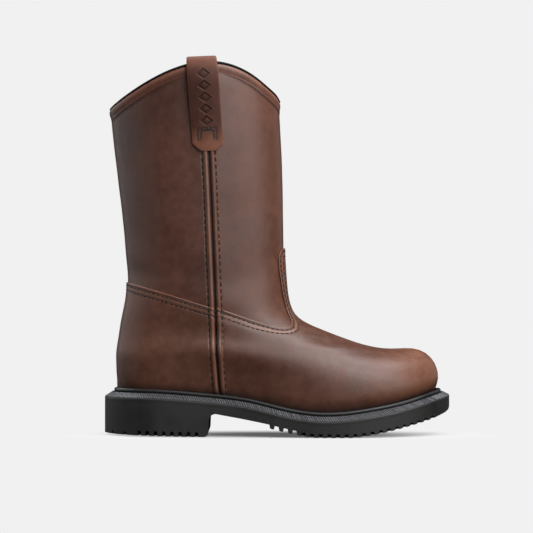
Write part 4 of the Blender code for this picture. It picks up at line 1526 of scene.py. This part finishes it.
def round_rod(tree, line, radius):
    """A line as a round rod with closed ends."""
    section = first_out(tree, "GeometryNodeCurvePrimitiveCircle", {"Resolution": ROD_SIDES, "Radius": radius})
    return first_out(tree, "GeometryNodeCurveToMesh", {0: line, 1: section, "Fill Caps": True})


def carried(tree, name, kind="FLOAT_VECTOR"):
    """A number or direction that the line carries."""
    return first_out(tree, "GeometryNodeInputNamedAttribute", {"Name": name}, data_type=kind)


def laid_along(tree, given, piece, ahead, size=(1, 1, 1)):
    """Copies of a piece at an even spacing along the given line. Their Z axis is the outward direction that
    the line carries, and their X axis points ahead."""
    line = first_out(tree, "GeometryNodeMeshToCurve", {0: given["Geometry"]})
    pace = {0: line, "Length": given["Spacing"]}
    spaced = first_out(tree, "GeometryNodeResampleCurve", pace, mode="LENGTH")
    axes = {0: carried(tree, "outward"), 1: ahead}
    lie = first_out(tree, "FunctionNodeAxesToRotation", axes, primary_axis="Z", secondary_axis="X")
    copies = {0: spaced, "Instance": piece, "Rotation": lie, "Scale": size}
    return first_out(tree, "GeometryNodeInstanceOnPoints", copies)


stitch_tree, given, result = new_tree("stitches", "Spacing", "Length", "Thread")
back_end, front_end = (combined(stitch_tree, "MULTIPLY", given["Length"], share) for share in (-0.5, 0.5))
dip = combined(stitch_tree, "MULTIPLY", given["Thread"], STITCH_DIP)
crest = combined(stitch_tree, "MULTIPLY", given["Thread"], STITCH_CREST)
bend = {"Resolution": ARC_STEPS}
for label, x, z in (("Start", back_end, dip), ("Middle", 0.0, crest), ("End", front_end, dip)):
    bend[label] = first_out(stitch_tree, "ShaderNodeCombineXYZ", {0: x, 2: z})
arc = first_out(stitch_tree, "GeometryNodeCurveQuadraticBezier", bend)
stitch = round_rod(stitch_tree, arc, given["Thread"])
ahead = first_out(stitch_tree, "GeometryNodeInputTangent")
end_tree(stitch_tree, laid_along(stitch_tree, given, stitch, ahead), given, result)


def stitch_rows(name, lines, spacing, length, radius):
    """One piece with stitches along lines, each an array of points and one of outward directions."""
    points = np.concatenate([line[0] for line in lines])
    outward = np.concatenate([line[1] for line in lines])
    edges, first = [], 0
    for line in lines:
        edges += [(first + i, first + i + 1) for i in range(len(line[0]) - 1)]
        first += len(line[0])
    made = make_mesh(name, points, [], [], {"outward": outward}, edges)
    sizes = {"Spacing": spacing * MM, "Length": length * MM, "Thread": radius * MM, "Finish": thread}
    return run_tree(made, stitch_tree, sizes)


print("stitch inputs:", input_names(stitch_tree))

# %% [markdown]
# ## Stitches beside the seams
# A row of long stitches runs beside each roll, from the pull loop down to the sole. Its line could be drawn
# on the finished panels, but it is worked out from the same heights as they are, so that the thread lies on
# the leather also where a lap crosses the seam.

# %% Stitches of the side seams
# Spacing, length and thread radius
STITCHES = {
    "seam": (6.0, 4.4, 0.5),
    "lap": (4.4, 3.2, 0.42),
    "hem": (2.6, 1.8, 0.3),
    "loop": (2.1, 1.5, 0.4),
}
THREAD_LIFT = 0.3
ROW_FOOT, ROW_POINTS = 6, 400
BELOW_LOOP = 1.5


def row_on_skin(level, angle, height):
    """Points of a row over the leather, and their outward directions."""
    return off_skin(level, angle, height), skin_normal(level, angle)


lines = []
level = np.linspace(ROW_FOOT, np.interp(LOOP_DROP + BELOW_LOOP, SEAM_DROP, SEAM_LEVEL), ROW_POINTS)
start = seam_angle(level)
for side, way in (("back", -1), ("front", 1)):
    away = np.full(level.shape, SEAM_SIDES[side]["row"])
    angle = start + way * away / around_rate(level, start)
    vamp_top = np.interp(angle, EDGE_ANGLE[:EDGE_BY_SEAM], EDGE_LEVEL[:EDGE_BY_SEAM])
    top = counter_level(angle) if side == "back" else vamp_top
    lap = np.where(level < top, lap_relief(np.maximum(top - level, 0)), 0)
    height = lap + seam_relief(away, level, side) + softness(level, angle)
    lines += [row_on_skin(level, turn, height + THREAD_LIFT) for turn in (angle, -angle)]
hand_in(stitch_rows("side_seam_stitches", lines, *STITCHES["seam"]), "thread")

# %% [markdown]
# ## Stitches of the laps
# Two rows of short stitches hold down the vamp and the counter. Their distance from the edge could be taken
# in levels and angles, but near the vamp's corner these cross at a slant, and the stitches would crowd. So
# it is measured square to the edge on the leather itself.

# %% Stitches of the laps
SEAM_CLEAR = 1.2
COUNTER_SEAM_LEVEL = 125.0
ROUND_POINTS = 900


def inside_edge(angle, level, distance):
    """A line beside a lap's edge, at a distance inside it along the leather."""
    up, around = slopes_of(level, angle)
    run = unit(around * np.gradient(angle)[:, None] + up * np.gradient(level)[:, None])
    inward = np.cross(run, unit(np.cross(around, up)))
    to_steps = np.linalg.pinv(np.stack([around, up], axis=-1))
    step = distance * (to_steps @ inward[..., None])[..., 0]
    return angle + step[:, 0], level + step[:, 1]


def lap_rows(edge_angle, edge_level, side):
    """The stitch rows along a lap's edge, left open where they would meet the seam's groove."""
    rows = []
    for distance in LAP_ROWS:
        angle, level = inside_edge(edge_angle, edge_level, distance)
        away = seam_distance(level, angle)
        keep = away > SEAM_CLEAR
        height = lap_relief(distance) + seam_relief(away, level, side) + softness(level, angle) + THREAD_LIFT
        rows.append(row_on_skin(level[keep], angle[keep], height[keep]))
    return rows


whole_angle = np.concatenate([EDGE_ANGLE, (2 * math.pi - EDGE_ANGLE)[-2::-1]])
whole_level = np.concatenate([EDGE_LEVEL, EDGE_LEVEL[-2::-1]])
vamp_rows = lap_rows(whole_angle, whole_level, "front")
hand_in(stitch_rows("vamp_stitches", vamp_rows, *STITCHES["lap"]), "thread")
reach = seam_angle(COUNTER_SEAM_LEVEL)
back_angle = np.linspace(-reach, reach, ROUND_POINTS)
counter_rows = lap_rows(back_angle, counter_level(back_angle), "back")
hand_in(stitch_rows("counter_stitches", counter_rows, *STITCHES["lap"]), "thread")

# %% [markdown]
# ## Stitches of the hem and the pull loops
# A fine row runs under the hem all round the collar. Each strap is sewn down with two rows, one inside the
# other, like a box without its lower side, and with a short bar of close stitches between their tops. They
# are lines for the stitch tree again, with other sizes.

# %% Stitches of the hem and the pull loops
HEM_ROW_BELOW, HEM_ROW_OUT = 0.7, 0.15
HEM_ROW_DEPTH = 9
BOX_POINTS = 40
BOX_LIFT, BAR_LIFT = -0.05, 0.1
BAR_HALF, BAR_POINTS = 3.4, 30
BAR_STEPS = (0.5, 1.1, 1.7)


def strap_row(side, drop, across, lift):
    """Points of a row on a strap's face, and their outward directions."""
    points = by_seam(side, drop, across, GAP + STRAP_THICK + lift + seam_rise(drop, across))
    return points, by_seam(side, drop, across, 4.0) - by_seam(side, drop, across, 3.0)


angle = np.linspace(0.001, 2 * math.pi, ROUND_POINTS)
hem_points = below_rim(angle, HEM_TALL + HEM_ROW_BELOW, HEM_ROW_OUT)
hem_line = (hem_points, skin_normal(TOP_LEVEL - HEM_ROW_DEPTH + 0 * angle, angle))
hand_in(stitch_rows("hem_stitches", [hem_line], *STITCHES["hem"]), "thread")

lines = []
for side in (1, -1):
    for _, reach, top in BOX_ROWS:
        legs = np.linspace(BOX_END, top, BOX_POINTS), np.linspace(top, BOX_END, BOX_POINTS)
        drop = np.concatenate([legs[0], np.full(BOX_POINTS, top), legs[1]])
        over = np.linspace(-reach, reach, BOX_POINTS + 2)[1:-1]
        across = np.concatenate([np.full(BOX_POINTS, -reach), over, np.full(BOX_POINTS, reach)])
        lines.append(strap_row(side, drop, across, BOX_LIFT))
    bar = np.linspace(-BAR_HALF, BAR_HALF, BAR_POINTS)
    lines += [strap_row(side, BOX_ROWS[0][2] + step, bar, BAR_LIFT) for step in BAR_STEPS]
hand_in(stitch_rows("pull_loop_stitches", lines, *STITCHES["loop"]), "thread")

# %% [markdown]
# ## Rubber
# The sole is moulded in black rubber. It is nearly matt and slightly mottled, and its upward-facing ledge and
# the ribs on it are painted lighter grey as a painted highlight.
# The welt above it is smoother, so it keeps a thin highlight. One function makes all four finishes, because
# they differ only in their two colours, their roughness and how pebbled they are.

# %% Rubber finishes
RUBBER_SCALES = {"cloud": 60, "pebble": 1300}
PEBBLE_DEPTH = 0.0003


def rubber(name, dark, pale, gloss, pebble):
    """Rubber between two colours, with its roughness and the strength of its pebbles."""
    finish, tree, shader, place = new_finish(name)
    cloud = noise_at(tree, place, RUBBER_SCALES["cloud"], 4, 0.6)
    colour_by(tree, shader, stretched(tree, cloud, 0.3, 0.75), dark, pale)
    sheen = stretched(tree, cloud, 0.3, 0.7, gloss - 0.05, gloss + 0.08)
    tree.links.new(sheen, shader.inputs["Roughness"])
    bump_by(tree, shader, noise_at(tree, place, RUBBER_SCALES["pebble"], 3), pebble, PEBBLE_DEPTH)
    return finish


sole_rubber = rubber("black_sole_rubber", linear(21, 21, 20), linear(30, 30, 29), 0.58, 0.25)
welt_rubber = rubber("black_welt_rubber", linear(26, 27, 29), linear(34, 35, 37), 0.48, 0.08)
# The ledge and its ribs are painted lighter than the sole's wall, a painted highlight on surfaces that face
# up
ledge_rubber_painted_lighter = rubber("ledge_rubber_painted_lighter", linear(40, 40, 42), linear(52, 52, 54), 0.55, 0.15)
rib_rubber_painted_lighter = rubber("rib_rubber_painted_lighter", linear(72, 73, 77), linear(86, 87, 91), 0.5, 0.1)
print("rubber finishes:", [m.name for m in bpy.data.materials if "rubber" in m.name])

# %% [markdown]
# ## Outsole
# The outsole is one piece of rubber with a heel, an arch and a lugged tread that rises to the toe. Seen
# from the side, its underside is one line. This cell works out that line: the heel and its breast, the
# arch, the first free lugs and the plain tread. It could be drawn as a curve, but lugs at a changing pitch
# suit a loop.

# %% Sole profile
LEDGE_DROP = 8.7
HEEL_BREAST_X = -60.8
HEEL_BACK_X = -155.0
HEEL_LIFT = {"from": -72.0, "rise": 1.9, "bend": 1.2}
BREAST_LEAN = 0.5
BREAST_ROUND = {"foot": 4.4, "arch": 6.0}
BREAST_DROP = 0.4
PAST_HEEL_X = -180
HEEL_STEPS, ROUND_STEPS = 12, 9
ARCH_HEIGHT, ARCH_END_X, ARCH_END_Z = 20.6, -7.6, 11.2
ARCH_BEND = 1.2
ARCH_PLACES = np.arange(-46.0, -15.0, 6.0)
TREAD_PLACES = np.arange(24.0, 144.0, 6.0)
TREAD_FLAT = (34.0, 64.0)

# How the tread bends up to the arch, whose end it reaches in part, and to the toe
TREAD_BEND = {"arch": 1.35, "arch_share": 0.7, "toe": 1.37}
TOE_X, TOE_SPRING = 154.0, 20.1
LUG = {"tip": 0.40, "root": 0.60, "depth": 3.4, "free_x": 12.0, "last_x": 138.0}

# Cut corner of a lug's tip, before and after its flank's end, and how high it starts
LUG_CORNER = {"before": 0.15, "after": 0.35, "lift": 0.5}

# Distance from one lug to the next, by the place along the sole
LUG_PITCH = (
    ("arch", 5.0, 8.0),
    ("waist", 12.0, 7.54),
    ("ball", 80.0, 7.6),
    ("toe", 100.0, 6.9),
    ("tip", 130.0, 6.2),
)

# Rise of the toe's lower edge over the tread, by the place along the sole
TOE_ROUND = (
    *((145.0, 0.7), (149.0, 0.9), (151.0, 1.3), (152.8, 1.8)),
    *((154.2, 3.2), (155.6, 6.0), (180.0, 12.0)),
)
CHANNEL_HALF, CHANNEL_DEPTH = 3.0, 2.3
CHANNEL_PLACES = np.arange(ARCH_END_X - 3, 136.0, 6.0)


def tread_height(x):
    """Height of the lugs' tips: flat under the ball, rising to the arch and to the toe."""
    back, front = TREAD_FLAT
    if x < back:
        share = (back - x) / (back - ARCH_END_X)
        return ARCH_END_Z * TREAD_BEND["arch_share"] * share ** TREAD_BEND["arch"]
    if x > front:
        return TOE_SPRING * ((x - front) / (TOE_X - front)) ** TREAD_BEND["toe"]
    return 0.0


def heel_lift(x):
    """Rise of the heel's underside towards its back, where it is worn round."""
    share = max(0.0, (HEEL_LIFT["from"] - x) / (HEEL_LIFT["from"] - HEEL_BACK_X))
    return HEEL_LIFT["rise"] * share ** HEEL_LIFT["bend"]


def heel_profile():
    """Underside of the heel, ending in the breast, with a round corner at its foot and at the arch."""
    points = [(x, heel_lift(x)) for x in np.linspace(PAST_HEEL_X, HEEL_LIFT["from"], HEEL_STEPS)]
    foot, low, high = HEEL_BREAST_X - BREAST_LEAN, BREAST_ROUND["foot"], BREAST_ROUND["arch"]
    turns = np.radians(np.linspace(0, 90, ROUND_STEPS))
    points += [(foot - low + low * math.sin(t), low - low * math.cos(t)) for t in turns]
    top = ARCH_HEIGHT - BREAST_DROP
    points += [(HEEL_BREAST_X + high - high * math.cos(t), top - high + high * math.sin(t)) for t in turns]
    return points


def lug_places():
    """Start and pitch of every lug, from the arch to the toe."""
    places, x = [], ARCH_END_X
    while x < LUG["last_x"]:
        places.append((x, np.interp(x, *columns(LUG_PITCH))))
        x += places[-1][1]
    return places


def forefoot_profile():
    """Underside of the arch, its free lugs, and the plain tread up to the toe."""
    share = (ARCH_PLACES - HEEL_BREAST_X) / (ARCH_END_X - HEEL_BREAST_X)
    points = list(zip(ARCH_PLACES, ARCH_HEIGHT - (ARCH_HEIGHT - ARCH_END_Z) * share**ARCH_BEND))
    depth = LUG["depth"]
    for start, pitch in lug_places():
        slope = (LUG["root"] - LUG["tip"]) / 2 * pitch
        corner = (slope - LUG_CORNER["before"], LUG_CORNER["lift"]), (slope + LUG_CORNER["after"], 0.0)
        flank = ((0.0, depth), *corner)
        points += [(start + place, tread_height(start + place) + lift) for place, lift in flank]
        if start > LUG["free_x"]:
            break
        end = start + LUG["root"] * pitch
        points += [(end - place, tread_height(end - place) + lift) for place, lift in flank[::-1]]
    points += [(x, tread_height(x)) for x in TREAD_PLACES]
    return points + [(x, tread_height(x) + lift) for x, lift in TOE_ROUND]


print("profile points:", len(heel_profile()) + len(forefoot_profile()))

# %% [markdown]
# ## The sole's body
# The body is a stack of rings: the seat under the leather, a narrow groove, a sloping ledge, a rounded lip
# and the upright wall. All that lies under the side profile is then cut off with a Boolean, as a mould
# would shape it, and so is a shallow channel along the middle. A Boolean needs a closed body, so the
# stack's ends are filled.

# %% Outsole mesh
SOLE_COLUMNS = 240
WALL_FOOT = -4.0
PAST_SOLE = 90.0

# The leather swells over its foot at the toe, and the welt is moved out by as much
TOE_EASE, TOE_EASE_SPAN = 2.8, (0.8, 0.98)

# Share of the way from the leather to the sole's edge, fixed distance added, fall from the seat to the lip,
# and lift
SOLE_RINGS = (
    ("seat", 0.0, 2.6, 0.0, 0.0),
    ("groove top", 0.0, 3.3, 0.0, -0.1),
    ("groove floor", 0.0, 3.6, 0.0, -0.9),
    ("groove foot", 0.0, 4.0, 0.0, -0.9),
    ("ledge top", 0.0, 4.4, 0.0, -0.3),
    ("ledge start", 0.0, 4.9, 0.08, -0.1),
    ("ledge", 1.0, -0.8, 0.9, 0.1),
    ("lip top", 1.0, -0.45, 0.97, 0.02),
    ("lip round", 1.0, -0.12, 1.0, -0.35),
    ("lip edge", 1.0, 0.0, 1.0, -1.0),
    ("under lip", 1.0, -0.15, 1.0, -2.2),
    ("wall", 1.0, -0.1, 1.0, -4.0),
)


def toe_ease(along):
    """How far the welt is moved out, by the share of the way to the toe."""
    return TOE_EASE * smooth_step(*TOE_EASE_SPAN, along)


def sole_ring(share, extra, fall, lift, angle):
    """A ring of the sole, by its place between the leather and the sole's edge."""
    along = (1 - np.cos(angle)) / 2
    edge = through_four(*EDGE_STATIONS.values(), along)
    foot = last_point(0.0 * angle, angle)
    away = share * edge + extra + (1 - share) * toe_ease(along)
    points = foot + away[..., None] * plan_normal(0.0 * angle, angle)
    seat = seat_height(points[:, 0])
    points[:, 2] = seat + fall * (RAND_HEIGHT - LEDGE_DROP) + lift
    return points


def capped_stack(rings):
    """Faces of rings one above another, with both ends filled from side to side."""
    count = rings.shape[1]
    faces = grid_faces(rings.shape[0], count, closed_columns=True)
    half = count // 2
    for first in (0, (rings.shape[0] - 1) * count):
        end = first + count
        faces.append((first, first + 1, end - 1))
        faces += [(first + i, first + i + 1, end - i - 1, end - i) for i in range(1, half - 1)]
        faces.append((first + half - 1, first + half, first + half + 1))
    return faces


def cut_away(obj, name, points, faces):
    """Cuts the shape of the given points and faces out of an object."""
    cutter = face_outwards(make_mesh(name, points, faces, []))
    boolean = obj.modifiers.new(name, "BOOLEAN")
    boolean.operation = "DIFFERENCE"
    boolean.solver = "EXACT"
    boolean.object = cutter
    settle(obj, sharp=32)
    bpy.data.objects.remove(cutter)


def prism(first, second):
    """Faces between two outlines with the same number of points, and both ends."""
    count = len(first)
    faces = [tuple(range(count)), tuple(range(count, 2 * count))]
    faces += [(i, (i + 1) % count, (i + 1) % count + count, i + count) for i in range(count)]
    return [*first, *second], faces


CUT_DEPTH = -12.0


def cut_below(obj, name, profile, from_y, to_y):
    """Cuts everything under a side profile off an object, between two places across it."""
    outline = [*profile, (profile[-1][0], CUT_DEPTH), (profile[0][0], CUT_DEPTH)]
    cut_away(obj, name, *prism([(x, from_y, z) for x, z in outline], [(x, to_y, z) for x, z in outline]))


angle = ring_angles(SOLE_COLUMNS)
rings = [sole_ring(*row[1:], angle) for row in SOLE_RINGS]
wall_foot = rings[-1].copy()
wall_foot[:, 2] = WALL_FOOT
rings = np.array([*rings, wall_foot])[::-1]
outsole = face_outwards(make_mesh("sole", rings, capped_stack(rings), [sole_rubber, ledge_rubber_painted_lighter]))
ledge_row = len(rings) - 2 - [row[0] for row in SOLE_RINGS].index("ledge start")
for face in outsole.data.polygons[ledge_row * SOLE_COLUMNS : (ledge_row + 1) * SOLE_COLUMNS]:
    face.material_index = 1
cut_below(outsole, "underside", heel_profile() + forefoot_profile(), -PAST_SOLE, PAST_SOLE)
channel = [(x, CHANNEL_DEPTH + tread_height(x)) for x in CHANNEL_PLACES]
cut_below(outsole, "channel", channel, -CHANNEL_HALF, CHANNEL_HALF)
print("sole after the underside is cut:", len(outsole.data.polygons), "faces")

# %% [markdown]
# ## Notches and lugs
# The heel's edge has a row of blind notches, with smaller ones round its back. The forefoot's lugs are
# parted by a blind gap from the edge and, behind a narrow rim, by a second gap up to a rib along the
# middle. Each is a short block. They could be cut one by one, but one Boolean with all the blocks is much
# quicker.

# %% Notches and lugs
# Place along the heel, half width and height
BACK_NOTCHES = ((-153.8, 1.1, 2.8), (-146.7, 1.3, 2.8), (-135.4, 1.4, 2.8))
ROW_NOTCHES = [(-122.4 + 7.25 * step, 1.65, 4.2) for step in range(8)]
NOTCH_REACH, NOTCH_CORNER = 8.0, 0.7
BLOCK_FOOT, BLOCK_OUT = -6.0, 4.0

# The middle rib's half width and its way to the inner side at the toe, and the rim between the two gaps
RIB_HALF, RIB_SWING = 8.0, 8.0
RIM_RIB = 5.0
GAP_REACH = 8.0
GAP_OUT = 80.0
SHORTEST_GAP = 4.0

# Half width of a gap by the pitch, its height, and what the height loses towards the toe
LUG_GAP = {"half": 0.21, "tall": 3.2, "loss": 0.6}
HALF_TURN = np.linspace(0, math.pi, 800)
HALF_OUTLINE = sole_outline(HALF_TURN)


def edge_at(x, side):
    """Point on the sole's edge at a place along it, and the direction out of it."""
    at = np.array([side * np.interp(x, HALF_OUTLINE[:, 0], HALF_TURN)])
    return sole_outline(at)[0] * (1, 1, 0), plan_normal(0.0 * at, at)[0]


def notch_block(x, half, tall, side):
    """Outlines of a notch outside and inside the heel's edge."""
    edge, out = edge_at(x, side)
    ahead = np.array([-out[1], out[0], 0.0])
    corners = (
        *((-half, BLOCK_FOOT), (half, BLOCK_FOOT)),
        *((half, tall - NOTCH_CORNER), (half - NOTCH_CORNER, tall)),
        *((NOTCH_CORNER - half, tall), (-half, tall - NOTCH_CORNER)),
    )
    section = [edge + across * ahead + (0, 0, z + heel_lift(x)) for across, z in corners]
    return [point + BLOCK_OUT * out for point in section], [point - NOTCH_REACH * out for point in section]


def lug_gaps(x, half, tall, side):
    """Outlines of a gap between two lugs: a blind one from the sole's edge, and one behind it to the rib."""
    low = tread_height(x)
    corners = (
        *((-1.6 * half, BLOCK_FOOT), (1.6 * half, BLOCK_FOOT)),
        *((1.2 * half, low), (half, low + tall)),
        *((-half, low + tall), (-1.2 * half, low)),
    )
    edge_y = edge_at(x, side)[0][1]
    middle_y = RIB_SWING * smooth_step(40, 150, x) - side * RIB_HALF
    blind, behind = edge_y + side * GAP_REACH, edge_y + side * (GAP_REACH + RIM_RIB)
    spans = [(-side * GAP_OUT, blind)]
    if side * (middle_y - behind) > SHORTEST_GAP:
        spans.append((behind, middle_y))
    return [[[(x + across, y, z) for across, z in corners] for y in span] for span in spans]


blocks = []
for side in (1, -1):
    blocks += [notch_block(*notch, side) for notch in (*BACK_NOTCHES, *ROW_NOTCHES)]
    for start, pitch in lug_places():
        if start > LUG["free_x"]:
            middle = start + (1 + LUG["root"]) / 2 * pitch
            tall = LUG_GAP["tall"] - LUG_GAP["loss"] * smooth_step(60, 120, middle)
            blocks += lug_gaps(middle, LUG_GAP["half"] * pitch, tall, side)
points, faces = [], []
for block in blocks:
    block_points, block_faces = prism(*block)
    faces += [tuple(corner + len(points) for corner in face) for face in block_faces]
    points += block_points
cut_away(outsole, "notches", points, faces)
hand_in(outsole, "sole_rubber", "outsole")

# %% [markdown]
# ## Wheeling on the ledge
# The ledge has a fine pattern of slanted ribs, as a wheel would roll into it. A bump could suggest them,
# but they catch the light and show at the edge. Geometry Nodes lay one small rib at an even spacing along
# the middle of the ledge. The path carries the direction across the ledge, the upward direction, and the
# ledge's width, which sets each rib's length.

# %% Ledge ribs
RIB_SLANT = 0.55
RIB_SIZES = {"Spacing": 2.1 * MM, "Thickness": 0.62 * MM}
LEDGE_POINTS = 400

# Inner and outer border of the ribs, as in the table of the sole's rings
LEDGE_IN = (0.0, 5.1, 0.10, 0.0)
LEDGE_OUT = (1.0, -0.7, 0.92, 0.1)

rib_tree, given, result = new_tree("ledge_ribs", "Spacing", "Thickness")
bar = first_out(rib_tree, "GeometryNodeCurvePrimitiveLine", {"Start": (-0.5, 0, 0), "End": (0.5, 0, 0)})
rib = round_rod(rib_tree, bar, given["Thickness"])
reach = carried(rib_tree, "reach", "FLOAT")
stretch = first_out(rib_tree, "ShaderNodeCombineXYZ", {0: reach, 1: 1.0, 2: 1.0})
ribs = laid_along(rib_tree, given, rib, carried(rib_tree, "across"), stretch)
end_tree(rib_tree, ribs, given, result)

angle = ring_angles(LEDGE_POINTS)
ledge_in = sole_ring(*LEDGE_IN, angle)
ledge_out = sole_ring(*LEDGE_OUT, angle)
middle = (ledge_in + ledge_out) / 2
span = ledge_out - ledge_in
ahead = unit(np.roll(middle, -1, axis=0) - np.roll(middle, 1, axis=0))
slanted = span + RIB_SLANT * np.linalg.norm(span, axis=-1, keepdims=True) * ahead * np.sign(ahead[:, :1])
upward = unit(np.cross(ahead, span))
upward = upward * np.sign(upward[:, 2:])
marks = {"outward": upward, "across": unit(slanted), "reach": np.linalg.norm(slanted, axis=-1) * MM}
ledge_ribs = make_mesh("ledge_ribs", middle, [], [], marks, loop_edges(LEDGE_POINTS))
run_tree(ledge_ribs, rib_tree, {**RIB_SIZES, "Finish": rib_rubber_painted_lighter})
hand_in(ledge_ribs, "sole_rubber")

# %% [markdown]
# ## Welt
# The welt is a smooth bead of rubber that closes the joint between the leather and the sole. A torus could
# be bent to fit, but the bead tree already sweeps an oval along any line, here round the foot of the
# leather. At the toe the leather swells over its foot, so the line is moved out there.

# %% Welt bead
WELT_POINTS = 320
WELT_OUT, WELT_LIFT = 1.9, 1.7
WELT_SIZES = {"Width": 3.2 * MM, "Height": 3.5 * MM}

angle = ring_angles(WELT_POINTS)
foot = last_point(0.0 * angle, angle)
ease = toe_ease((1 - np.cos(angle)) / 2)
welt_line = foot + (WELT_OUT + ease)[:, None] * plan_normal(0.0 * angle, angle)
welt_line[:, 2] = seat_height(welt_line[:, 0]) + WELT_LIFT
welt = make_mesh("welt_bead", welt_line, [], [], edges=loop_edges(WELT_POINTS))
run_tree(welt, bead_tree, {**WELT_SIZES, "Finish": welt_rubber})
hand_in(welt, "welt_rubber", "welt")

# %% [markdown]
# ## Footbed
# The footbed inside is a foam board covered with cloth. A plain plate could do, but a low cushion of rings
# that close towards the middle line of the foot is as easy to make. It is a little higher at its rim, so
# that it cups the heel.

# %% Footbed
FOOTBED_POINTS = 160

# Share of the way to the middle line, and height over the seat
FOOTBED_RINGS = (
    ("lower edge", 0.0, 0.3),
    ("upper edge", 0.0, 3.6),
    ("edge round", 0.02, 4.3),
    ("rim", 0.06, 4.6),
    ("inside the rim", 0.15, 4.4),
    ("slope", 0.35, 4.1),
    ("bed", 0.65, 4.0),
    ("middle", 0.97, 4.0),
)

footbed_cloth, tree, shader, place = new_finish("footbed_cloth")
nap = noise_at(tree, place, 700, 4, 0.65)
colour_by(tree, shader, nap, linear(52, 49, 46), linear(84, 80, 75))
bump_by(tree, shader, nap, 0.35, 0.0004)
shader.inputs["Roughness"].default_value = 0.95

angle = ring_angles(FOOTBED_POINTS)
edge = last_point(0.0 * angle, angle) - (WALL + 2 * GAP) * plan_normal(0.0 * angle, angle)
mirrored = edge[(-np.arange(FOOTBED_POINTS)) % FOOTBED_POINTS]
middle = (edge + mirrored) / 2
rings = []
for _, share, lift in FOOTBED_RINGS:
    ring = edge + (middle - edge) * share
    ring[:, 2] = seat_height(ring[:, 0]) + lift
    rings.append(ring)
rings = np.array(rings)
footbed = face_outwards(make_mesh("footbed", rings, capped_stack(rings), [footbed_cloth]))
settle(footbed, sharp=60)
hand_in(footbed, "insole_fabric", "insole")
